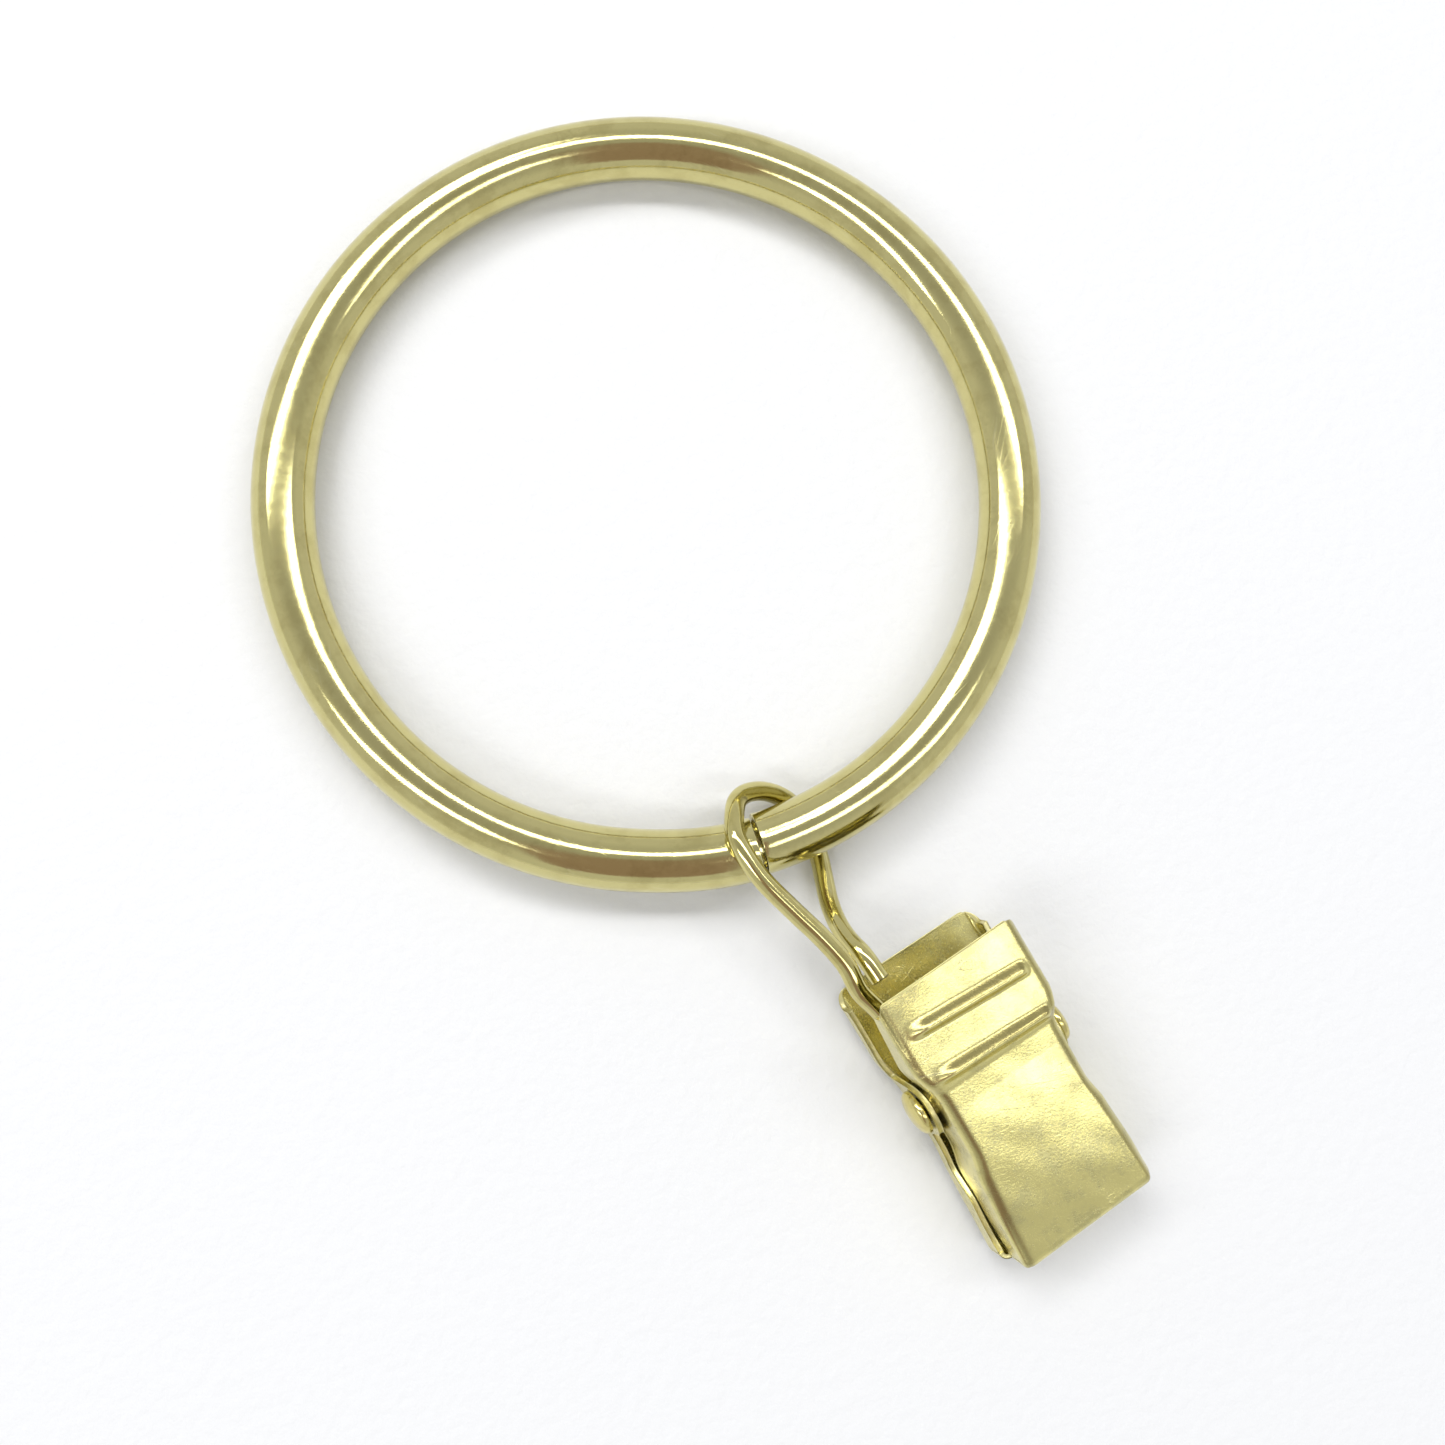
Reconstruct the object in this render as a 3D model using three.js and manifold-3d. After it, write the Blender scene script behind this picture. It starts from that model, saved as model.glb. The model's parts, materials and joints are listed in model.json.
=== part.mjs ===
// A curtain clip ring: a bent brass-plated tube, a wire eye that slides round it, and a sprung two-jaw clip.
// Millimetres, +Z up. The ring, the eye and the clip lie on the plane z = 0, as they rest on a table.
import * as THREE from "three";
import { mergeVertices } from "three/addons/utils/BufferGeometryUtils.js";
import Module from "manifold-3d";

const DEGREE = Math.PI / 180;

// The ring: a steel tube rolled round until its two ends meet in a butt seam.
const RING = {
  outerDiameter: 60.3,
  tubeDiameter: 4.76,
  wall: 0.5,
  seamGap: 0.3,
  seamAngle: -93.3 * DEGREE,
  segments: 64,
  sides: 12,
};

// The eye: one wire that starts at a cut end, loops round the tube and hooks round the pivot pin.
// `loop` holds [across, turn round the tube from straight below it, extra distance from the tube].
// Its legs hold [share of the leg, bow across, bow upwards] between the tube and the neck.
// Its ends and necks hold [across from the long leg, beyond the handle's end, up] in the clip, and `inside`
// holds [share of the way across to the hook, beyond the handle's end, up].
const WIRE = {
  diameter: 1.5,
  tubeGap: 0.12,
  pinGap: 0.14,
  earGap: 0.15,
  legInset: 0.3,
  hookStart: -100 * DEGREE,
  hookTurn: 250 * DEGREE,
  hookSteps: 8,
  shortEnd: [1.9, 0, -0.35],
  shortNeck: [1.8, 2.3, -0.8],
  longNeck: [0.1, 2.5, 0.35],
  inside: [
    [0, 0.4, 0.25],
    [0.35, -1.6, 0],
    [0.8, -5.3, -0.75],
  ],
  loop: [
    [2.55, 0, 0],
    [1.6, 45, 0.05],
    [0.15, 72, 0.55],
    [-1.35, 92, 0.7],
    [-2.25, 106, 0.5],
    [-2.95, 130, 0.12],
    [-3.45, 158, 0],
    [-3.4, 180, 0],
  ],
  shortLeg: [
    [0.88, -0.5, -0.2],
    [0.76, -0.75, -0.45],
    [0.6, -0.7, -0.95],
    [0.42, -0.35, -1.1],
    [0.25, -0.05, -0.9],
  ],
  longLeg: [
    [0.22, -0.38, 0.15],
    [0.5, -0.22, 0.1],
    [0.78, 0.05, 0.05],
  ],
  sides: 8,
  steps: 90,
};

// The pin, and how the clip lies: `across` and `beyondTube` place the pin, `turn` aims the clip sideways
// and `lean` tips it onto its right edge.
const PIVOT = {
  across: 8.15,
  beyondTube: 21.4,
  turn: 10.6 * DEGREE,
  lean: 5 * DEGREE,
  pinDiameter: 1.8,
  pinGap: 0.1,
  earGap: 0.3,
  headDiameter: 3.5,
  headHeight: 0.95,
  headRim: 0.28,
  headSteps: 5,
  headGap: 0.12,
  sides: 24,
};

// Both jaws: pressed from one sheet, from the handle's end at +y to the lip at -y. The pairs are where along y
// a jaw flares out to its handle and to its grip, and where the flanges' edge changes height.
const JAW = {
  sheet: 0.4,
  foldRadius: 0.8,
  handleLength: 9.7,
  gripLength: 13.2,
  lipRadius: 0.9,
  lipCorner: 0.8,
  lipHeight: 0.3,
  lipGap: 0.3,
  lipRun: 1,
  nestGap: 0.2,
  bottomGap: 0.06,
  handleFlare: [0.8, 4.2],
  gripFlare: [-5.4, -3.3],
  earRun: [-2, 2],
  gripRun: [-8.2, -5.2],
  foldSteps: 4,
  lipSteps: 4,
};
const FRONT = {
  handleHeight: 5.6,
  panelHeight: 4.7,
  tipHeight: 4,
  step: [1.6, 2.8],
  handleWidth: 12.1,
  earWidth: 10.4,
  gripWidth: 10.7,
  tipWidth: 11.8,
  endSlant: 0.042,
  handleFlange: 2.1,
  waistEdge: 0.9,
  notchEdge: -0.9,
  tipEdge: -0.6,
  earRadius: 2.2,
  cornerRadius: 0.8,
  rowStep: 1.5,
};
const BACK = {
  handleHeight: 5,
  tipHeight: 2.9,
  handleWidth: 12.9,
  handleFlange: 2.4,
  waistEdge: 2.6,
  notchEdge: 1.4,
  tipEdge: 0.1,
  earRadius: 2.3,
  cornerRadius: 1.2,
  rowStep: 1.9,
};
const BEADS = { places: [6.5, 2.8], slant: 0.045, width: 1.5, height: 0.38, reach: 4.5, runOut: 0.7 };

// Shares of the ear's radius, the corner's radius and the bead's width at which a jaw has an extra row, and the
// smallest step between two rows.
const ROWS = {
  ear: [0.3, 0.6, 0.85, 0.97],
  corner: [0.15, 0.4, 0.7, 1],
  bead: [-0.5, -0.3, -0.12, 0.12, 0.3, 0.5],
  nearest: 0.1,
};

// The torsion spring: a coil on the pin, with one leg pressing each handle outwards.
const SPRING = {
  wire: 0.7,
  pinGap: 0.25,
  turns: 4,
  pitch: 0.86,
  offset: 0.2,
  legReach: 6.2,
  legGap: 0.35,
  sides: 8,
  stepsPerTurn: 13,
  legSteps: 3,
};

const tubeRadius = RING.tubeDiameter / 2;
const wireRadius = WIRE.diameter / 2;
const pinRadius = PIVOT.pinDiameter / 2;
const centreRadius = RING.outerDiameter / 2 - tubeRadius;
const tubeToWire = tubeRadius + wireRadius + WIRE.tubeGap;

// The wire passes under the tube, so it tips the ring up on the eye's side.
const ringTilt = Math.asin((WIRE.diameter + WIRE.tubeGap) / (2 * centreRadius));
const ringHeight = centreRadius * Math.sin(ringTilt) + tubeRadius;
const nearHeight = 2 * centreRadius * Math.sin(ringTilt) + tubeRadius;

// Widths of the back jaw that go round the front jaw.
const backEarWidth = FRONT.earWidth + 2 * (PIVOT.earGap + JAW.sheet);
const backGripWidth = FRONT.gripWidth + 2 * (JAW.nestGap + JAW.sheet);
const backTipWidth = FRONT.tipWidth + 2 * (JAW.nestGap + JAW.sheet);
const lipStart = JAW.gripLength - JAW.lipRadius;

const lerp = THREE.MathUtils.lerp;
const rise = THREE.MathUtils.smoothstep;

const wasm = await Module();
wasm.setup();

function solidOf(geometry) {
  const bare = geometry.clone();
  bare.deleteAttribute("normal");
  bare.deleteAttribute("uv");
  const merged = mergeVertices(bare, 1e-4);
  return new wasm.Manifold(
    new wasm.Mesh({
      numProp: 3,
      vertProperties: merged.attributes.position.array,
      triVerts: new Uint32Array(merged.index.array),
    }),
  );
}

function geometryOf(solid) {
  const mesh = solid.getMesh();
  const geometry = new THREE.BufferGeometry();
  geometry.setAttribute("position", new THREE.BufferAttribute(new Float32Array(mesh.vertProperties), 3));
  geometry.setIndex(new THREE.BufferAttribute(new Uint32Array(mesh.triVerts), 1));
  return geometry;
}

function metalMesh(name, geometry, colour, roughness) {
  const material = new THREE.MeshStandardMaterial({ color: colour, roughness, metalness: 1 });
  const mesh = new THREE.Mesh(geometry, material);
  mesh.name = name;
  return mesh;
}

// A regular polygon as a THREE.Shape or THREE.Path.
function polygon(radius, sides, PathClass) {
  const corners = Array.from({ length: sides }, (_, side) => {
    const angle = (2 * Math.PI * side) / sides;
    return new THREE.Vector2(radius * Math.cos(angle), radius * Math.sin(angle));
  });
  return new PathClass(corners);
}

// ---- Ring -------------------------------------------------------------------------------------------------

class RingLine extends THREE.Curve {
  getPoint(t) {
    const halfGap = RING.seamGap / 2 / centreRadius;
    const angle = lerp(RING.seamAngle + halfGap, RING.seamAngle + 2 * Math.PI - halfGap, t);
    return new THREE.Vector3(centreRadius * Math.cos(angle), centreRadius * Math.sin(angle), 0);
  }
}

function ringMesh() {
  const section = polygon(tubeRadius, RING.sides, THREE.Shape);
  section.holes.push(polygon(tubeRadius - RING.wall, RING.sides, THREE.Path));
  const geometry = new THREE.ExtrudeGeometry(section, {
    steps: RING.segments,
    extrudePath: new RingLine(),
    curveSegments: 1,
  });
  const ring = metalMesh("ring", geometry, 0xc9c083, 0.18);
  ring.rotation.x = -ringTilt;
  ring.position.z = ringHeight;
  return ring;
}

// ---- Clip frame: the pin lies along x, the handles point along +y, the front jaw faces +z ------------------

const jawLength = lipStart + JAW.handleLength;
const backHeight = (y) => lerp(BACK.tipHeight, BACK.handleHeight, (y + lipStart) / jawLength);
const clipPitch = Math.atan2(BACK.handleHeight - BACK.tipHeight, jawLength);

// The clip is let down until the right corner of the back jaw's lip touches the table.
const clip = new THREE.Group();
clip.rotation.set(clipPitch, PIVOT.lean, PIVOT.turn, "ZXY");
const lowestCorner = new THREE.Vector3(backTipWidth / 2 - JAW.foldRadius, -lipStart, -BACK.tipHeight);
clip.position.set(PIVOT.across, -(centreRadius + PIVOT.beyondTube), -lowestCorner.applyEuler(clip.rotation).z);
clip.updateMatrixWorld(true);
const fromClip = (x, y, z) => clip.localToWorld(new THREE.Vector3(x, y, z));

// ---- Jaws -------------------------------------------------------------------------------------------------

// A closed sheet between two grids of points, outer[row][column] and inner[row][column].
function sheetGeometry(outer, inner) {
  const rows = outer.length;
  const columns = outer[0].length;
  const lastRow = rows - 1;
  const lastColumn = columns - 1;
  const at = (side, row, column) => (side * rows + row) * columns + column;
  const faces = [];
  const quad = (a, b, c, d) => faces.push(a, b, c, a, c, d);
  for (let row = 0; row < lastRow; row += 1) {
    for (let column = 0; column < lastColumn; column += 1) {
      quad(at(0, row, column), at(0, row + 1, column), at(0, row + 1, column + 1), at(0, row, column + 1));
      quad(at(1, row, column), at(1, row, column + 1), at(1, row + 1, column + 1), at(1, row + 1, column));
    }
    quad(at(0, row, 0), at(1, row, 0), at(1, row + 1, 0), at(0, row + 1, 0));
    quad(at(0, row, lastColumn), at(0, row + 1, lastColumn), at(1, row + 1, lastColumn), at(1, row, lastColumn));
  }
  for (let column = 0; column < lastColumn; column += 1) {
    quad(at(0, 0, column), at(0, 0, column + 1), at(1, 0, column + 1), at(1, 0, column));
    quad(at(0, lastRow, column), at(1, lastRow, column), at(1, lastRow, column + 1), at(0, lastRow, column + 1));
  }
  const points = [...outer.flat(), ...inner.flat()];
  const geometry = new THREE.BufferGeometry();
  geometry.setAttribute("position", new THREE.Float32BufferAttribute(points.flatMap((p) => p.toArray()), 3));
  geometry.setIndex(faces);
  return geometry;
}

// How wide a jaw is at y: the handle, the narrow stretch at the ears, then the grip that widens to its tip.
function widthAt(widths, y) {
  const [gripFrom, gripTo] = JAW.gripFlare;
  const handle = lerp(widths.ear, widths.handle, rise(y, ...JAW.handleFlare));
  const grip = lerp(widths.grip, widths.tip, Math.max(0, (gripTo - y) / (gripTo + lipStart)));
  return lerp(grip, handle, rise(y, gripFrom, gripTo));
}

// The height of the flanges' free edge at y, with the round ear below the pin.
function edgeAt(jaw, y) {
  const [notch, waist] = JAW.earRun;
  const handleEdge = jaw.handleHeight - jaw.handleFlange;
  const lipEdge = JAW.lipGap / 2 + jaw.lipSide * JAW.lipHeight;
  const inner = lerp(jaw.notchEdge, jaw.waistEdge, rise(y, notch, waist));
  const handle = lerp(jaw.waistEdge, handleEdge, (y - waist) / (JAW.handleLength - waist));
  const grip = lerp(jaw.tipEdge, jaw.notchEdge, rise(y, ...JAW.gripRun));
  const lip = lerp(lipEdge, grip, rise(y, -lipStart, -lipStart + JAW.lipRun));
  const straight = y > waist ? handle : y > notch ? inner : lip;
  const ear = Math.abs(y) < jaw.earRadius ? Math.sqrt(jaw.earRadius ** 2 - y ** 2) : 0;
  return ear > 0 ? Math.min(straight, -ear) : straight;
}

function beadHeight(x, y, raised) {
  if (!raised) return 0;
  const across = 1 - rise(Math.abs(x), BEADS.reach, BEADS.reach + BEADS.runOut);
  const profile = BEADS.places.map((place) => {
    const offset = Math.min(1, Math.abs(y + BEADS.slant * x - place) / (BEADS.width / 2));
    return 0.5 + 0.5 * Math.cos(Math.PI * offset);
  });
  return BEADS.height * across * Math.max(...profile);
}

// How far a rounded corner falls back at a distance from the side.
function roundCorner(fromSide, radius) {
  const reach = Math.max(0, radius - fromSide);
  return radius - Math.sqrt(Math.max(0, radius ** 2 - reach ** 2));
}

// Where the jaw's rows lie along y: even steps, with more at each bead and at the ear.
function rowPlaces(jaw) {
  const places = [JAW.handleLength, -lipStart];
  const count = Math.ceil((JAW.handleLength + lipStart) / jaw.rowStep);
  for (let i = 1; i < count; i += 1) places.push(lerp(JAW.handleLength, -lipStart, i / count));
  for (const share of ROWS.ear) places.push(share * jaw.earRadius, -share * jaw.earRadius);
  for (const share of ROWS.corner) places.push(JAW.handleLength - share * jaw.cornerRadius);
  if (jaw.raisedBeads) {
    for (const place of BEADS.places) for (const share of ROWS.bead) places.push(place + share * BEADS.width);
  }
  places.sort((a, b) => b - a);
  return places.filter((y, i) => i === 0 || i === places.length - 1 || places[i - 1] - y > ROWS.nearest);
}

// One face of a jaw's sheet: `inset` is 0 outside and the sheet's thickness inside.
function jawFace(jaw, inset) {
  const fold = JAW.foldRadius;
  const lipRadius = JAW.lipRadius;
  const stations = rowPlaces(jaw).map((y) => ({ y, drop: 0, turn: 0 }));
  for (let step = 1; step <= JAW.lipSteps; step += 1) {
    const turn = step / JAW.lipSteps;
    const reach = (lipRadius - inset) * Math.sin((turn * Math.PI) / 2);
    const drop = (lipRadius - inset) * (1 - Math.cos((turn * Math.PI) / 2));
    stations.push({ y: -lipStart - reach, drop, turn });
  }
  stations.push({ y: -lipStart - (lipRadius - inset), drop: Infinity, turn: 1 });
  return stations.map(({ y, drop, turn }) => {
    const flatY = Math.max(y, -lipStart);
    const half = widthAt(jaw.widths, flatY) / 2;
    const height = jaw.heightAt(flatY);
    const edge = edgeAt(jaw, flatY);
    const top = height - inset;
    const farthest = top - edge - JAW.bottomGap * (height - edge);
    const scale = 1 - Math.min(drop, farthest) / (top - edge);
    const profile = [[-half + inset, edge]];
    for (let step = 0; step <= JAW.foldSteps; step += 1) {
      const angle = (step / JAW.foldSteps) * (Math.PI / 2);
      profile.push([
        -half + fold - (fold - inset) * Math.cos(angle),
        height - fold + (fold - inset) * Math.sin(angle),
      ]);
    }
    const flat = half - fold;
    for (const share of jaw.webShares) profile.push([-flat * share, top]);
    profile.push([0, top]);
    const mirrored = profile.slice(0, -1).reverse().map(([x, z]) => [-x, z]);
    const atHandle = rise(y, JAW.handleLength - 1.5 * jaw.cornerRadius, JAW.handleLength);
    const atLip = rise(-y, lipStart - 3 * lipRadius, lipStart);
    return [...profile, ...mirrored].map(([x, z]) => {
      const raised = z > top - 1e-6 ? beadHeight(x, y, jaw.raisedBeads) : 0;
      const handleCorner = roundCorner(half - inset - Math.abs(x), jaw.cornerRadius) * atHandle;
      const lipCorner = roundCorner(half - inset - Math.abs(x), JAW.lipCorner - inset) * turn;
      const slant = jaw.endSlant * x * (atHandle + atLip);
      return new THREE.Vector3(x, y - handleCorner + lipCorner + slant, edge + (z - edge) * scale + raised);
    });
  });
}

function jawGeometry(jaw) {
  const blank = solidOf(sheetGeometry(jawFace(jaw, 0), jawFace(jaw, JAW.sheet)));
  const drill = new THREE.CylinderGeometry(
    pinRadius + PIVOT.pinGap,
    pinRadius + PIVOT.pinGap,
    2 * jaw.widths.handle,
    PIVOT.sides,
  );
  drill.rotateZ(Math.PI / 2);
  return geometryOf(blank.subtract(solidOf(drill)));
}

// The front jaw's face: the grip's slope, then the step up to the handle.
function frontHeight(y) {
  const grip = lerp(FRONT.tipHeight, FRONT.panelHeight, (y + lipStart) / lipStart);
  return lerp(grip, FRONT.handleHeight, rise(y, ...FRONT.step));
}

const frontJaw = {
  ...FRONT,
  widths: { handle: FRONT.handleWidth, ear: FRONT.earWidth, grip: FRONT.gripWidth, tip: FRONT.tipWidth },
  heightAt: frontHeight,
  webShares: [0.94, 0.88, 0.82, 0.45],
  raisedBeads: true,
  lipSide: 1,
};
const backJaw = {
  ...BACK,
  widths: { handle: BACK.handleWidth, ear: backEarWidth, grip: backGripWidth, tip: backTipWidth },
  heightAt: backHeight,
  webShares: [0.5],
  raisedBeads: false,
  lipSide: -1,
  endSlant: 0,
};

function frontJawMesh() {
  return metalMesh("front_jaw", jawGeometry(frontJaw), 0xd6cc7c, 0.3);
}

function backJawMesh() {
  const mesh = metalMesh("back_jaw", jawGeometry(backJaw), 0xcfc57a, 0.3);
  mesh.rotation.y = Math.PI;
  return mesh;
}

// ---- Pivot pin --------------------------------------------------------------------------------------------

function pivotPinMesh() {
  const shank = backEarWidth / 2 + PIVOT.headGap;
  const headRadius = PIVOT.headDiameter / 2;
  const dome = PIVOT.headHeight - PIVOT.headRim;
  const half = [new THREE.Vector2(pinRadius, shank), new THREE.Vector2(headRadius, shank)];
  for (let step = 0; step < PIVOT.headSteps; step += 1) {
    const angle = (step / PIVOT.headSteps) * (Math.PI / 2);
    const height = PIVOT.headRim + dome * Math.sin(angle);
    half.push(new THREE.Vector2(headRadius * Math.cos(angle), shank + height));
  }
  half.push(new THREE.Vector2(0, shank + PIVOT.headHeight));
  const other = half.map((p) => new THREE.Vector2(p.x, -p.y)).reverse();
  const geometry = new THREE.LatheGeometry([...other, ...half], PIVOT.sides);
  geometry.rotateZ(Math.PI / 2);
  return metalMesh("pivot_pin", geometryOf(solidOf(geometry)), 0xc8b870, 0.25);
}

// ---- Torsion spring ---------------------------------------------------------------------------------------

function springMesh() {
  const radius = pinRadius + SPRING.pinGap + SPRING.wire / 2;
  const inset = JAW.sheet + SPRING.legGap + SPRING.wire / 2;
  const legs = [frontJaw.heightAt(SPRING.legReach) - inset, inset - backJaw.heightAt(SPRING.legReach)].map(
    (height) => {
      const spread = Math.acos(radius / Math.hypot(height, SPRING.legReach));
      return { height, turn: Math.atan2(Math.abs(height), SPRING.legReach) + spread };
    },
  );
  const start = legs[0].turn;
  const sweep = 2 * Math.PI * (SPRING.turns + 1) - start - legs[1].turn;
  const length = (SPRING.pitch * sweep) / (2 * Math.PI);
  const coilPoint = (share) => {
    const angle = start + sweep * share;
    const x = SPRING.offset + length * (share - 0.5);
    return new THREE.Vector3(x, radius * Math.cos(angle), radius * Math.sin(angle));
  };
  const legPoint = (end, share) => {
    const foot = coilPoint(end);
    return foot.clone().lerp(new THREE.Vector3(foot.x, SPRING.legReach, legs[end].height), share);
  };
  const steps = Math.round((SPRING.stepsPerTurn * sweep) / (2 * Math.PI));
  const points = [];
  for (let i = SPRING.legSteps; i > 0; i -= 1) points.push(legPoint(0, i / SPRING.legSteps));
  for (let i = 0; i <= steps; i += 1) points.push(coilPoint(i / steps));
  for (let i = 1; i <= SPRING.legSteps; i += 1) points.push(legPoint(1, i / SPRING.legSteps));
  const geometry = new THREE.ExtrudeGeometry(polygon(SPRING.wire / 2, SPRING.sides, THREE.Shape), {
    steps: points.length - 1,
    extrudePath: new THREE.CatmullRomCurve3(points),
    curveSegments: 1,
  });
  return metalMesh("torsion_spring", geometry, 0xb8b4a0, 0.3);
}

// ---- Eye wire ---------------------------------------------------------------------------------------------

function eyeWireMesh() {
  const aroundTube = WIRE.loop.map(([across, turn, extra]) => {
    const distance = tubeToWire + extra;
    const angle = turn * DEGREE;
    const tubeY = -Math.sqrt(centreRadius ** 2 - across ** 2);
    return new THREE.Vector3(across, tubeY + distance * Math.sin(angle), nearHeight - distance * Math.cos(angle));
  });
  // Inside the clip the long leg runs beside the front jaw's left ear and hooks round the pin.
  const hookX = -(FRONT.earWidth / 2 - JAW.sheet - WIRE.earGap - wireRadius);
  const hookRadius = pinRadius + WIRE.pinGap + wireRadius;
  const legX = -(FRONT.handleWidth / 2 - JAW.sheet - WIRE.legInset);
  const besideLeg = ([across, beyond, up]) => fromClip(legX + across, JAW.handleLength + beyond, up);
  const shortNeck = besideLeg(WIRE.shortNeck);
  const longNeck = besideLeg(WIRE.longNeck);
  const bowed = (from, to, [share, across, up]) =>
    from.clone().lerp(to, share).add(new THREE.Vector3(across, 0, up));
  const under = aroundTube[0];
  const over = aroundTube[aroundTube.length - 1];
  const hook = [];
  for (let step = 0; step <= WIRE.hookSteps; step += 1) {
    const angle = WIRE.hookStart - (step / WIRE.hookSteps) * WIRE.hookTurn;
    hook.push(fromClip(hookX, hookRadius * Math.cos(angle), hookRadius * Math.sin(angle)));
  }
  const curve = new THREE.CatmullRomCurve3(
    [
      besideLeg(WIRE.shortEnd),
      shortNeck,
      ...WIRE.shortLeg.map((bow) => bowed(under, shortNeck, bow)),
      ...aroundTube,
      ...WIRE.longLeg.map((bow) => bowed(over, longNeck, bow)),
      longNeck,
      ...WIRE.inside.map(([share, beyond, up]) => besideLeg([share * (hookX - legX), beyond, up])),
      ...hook,
    ],
    false,
    "centripetal",
  );
  const geometry = new THREE.ExtrudeGeometry(polygon(wireRadius, WIRE.sides, THREE.Shape), {
    steps: WIRE.steps,
    extrudePath: curve,
    curveSegments: 1,
  });
  return metalMesh("eye_wire", geometry, 0xc4bb80, 0.2);
}

// ---- The whole part, with its origin under the middle of its box -------------------------------------------

clip.add(frontJawMesh(), backJawMesh(), pivotPinMesh(), springMesh());
const part = new THREE.Group();
part.add(ringMesh(), eyeWireMesh(), clip);
part.updateMatrixWorld(true);
const box = new THREE.Box3().setFromObject(part, true);
const middle = box.getCenter(new THREE.Vector3());
part.position.set(-middle.x, -middle.y, -box.min.z);

export default part;
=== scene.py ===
"""A curtain clip ring lying on a white table: rolled tube, bent wire eye and a sprung two-jaw clip.

Sizes are millimetres in the classes and metres in the meshes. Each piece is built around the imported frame,
takes its place from the frame's joints and stands for the CAD node of the same part.
"""

import json  # noqa: E402
import logging  # noqa: E402
import math  # noqa: E402
from collections.abc import Callable  # noqa: E402
from dataclasses import dataclass, field  # noqa: E402
from enum import Enum  # noqa: E402

import bpy  # noqa: E402
import numpy as np  # noqa: E402
from mathutils import Matrix, Vector  # noqa: E402


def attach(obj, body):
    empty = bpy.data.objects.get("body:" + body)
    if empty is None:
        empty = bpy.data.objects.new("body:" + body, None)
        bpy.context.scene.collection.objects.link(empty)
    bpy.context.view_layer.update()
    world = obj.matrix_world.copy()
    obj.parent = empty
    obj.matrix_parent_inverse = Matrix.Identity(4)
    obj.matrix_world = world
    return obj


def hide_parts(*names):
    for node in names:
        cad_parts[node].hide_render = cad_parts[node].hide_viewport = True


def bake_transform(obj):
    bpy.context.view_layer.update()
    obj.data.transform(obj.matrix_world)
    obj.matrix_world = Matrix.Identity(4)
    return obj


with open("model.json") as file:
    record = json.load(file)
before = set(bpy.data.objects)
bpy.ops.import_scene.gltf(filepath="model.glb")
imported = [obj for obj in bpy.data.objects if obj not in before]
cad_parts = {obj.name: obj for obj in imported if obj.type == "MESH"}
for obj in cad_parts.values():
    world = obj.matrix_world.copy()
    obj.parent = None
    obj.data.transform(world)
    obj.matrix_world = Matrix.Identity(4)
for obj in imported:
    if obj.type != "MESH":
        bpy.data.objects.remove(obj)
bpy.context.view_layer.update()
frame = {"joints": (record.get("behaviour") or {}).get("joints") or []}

log = logging.getLogger("clip_ring")

Colour = tuple[float, float, float]
Triple = tuple[float, float, float]
Span = tuple[float, float]
Rows = tuple[tuple[float, ...], ...]
MM = 0.001
X_AXIS = np.array([1.0, 0.0, 0.0])


# ---- Shader nodes -----------------------------------------------------------------------------------------


def arithmetic(operation: str, swapped: bool = False) -> Callable[["Number", "Number | float"], "Number"]:
    """Makes one of Number's operators.

    Args:
        operation: The Math node's operation.
        swapped: True for an operator whose Number stands on the right.

    Returns:
        A method that adds one Math node and gives its result.
    """

    def method(self: "Number", other: "Number | float") -> "Number":
        """The two sides joined by the operation."""
        return self.kit.math(operation, *((other, self) if swapped else (self, other)))

    return method


class Number:
    """A shader number: one socket that Python's operators work on, each adding a Math node."""

    __add__ = arithmetic("ADD")
    __radd__ = arithmetic("ADD", swapped=True)
    __sub__ = arithmetic("SUBTRACT")
    __rsub__ = arithmetic("SUBTRACT", swapped=True)
    __mul__ = arithmetic("MULTIPLY")
    __rmul__ = arithmetic("MULTIPLY", swapped=True)

    def __init__(self, kit: "NodeKit", socket: bpy.types.NodeSocket) -> None:
        self.kit = kit
        self.socket = socket

    def __abs__(self) -> "Number":
        """Self without its sign."""
        return self.kit.math("ABSOLUTE", self)


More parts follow.
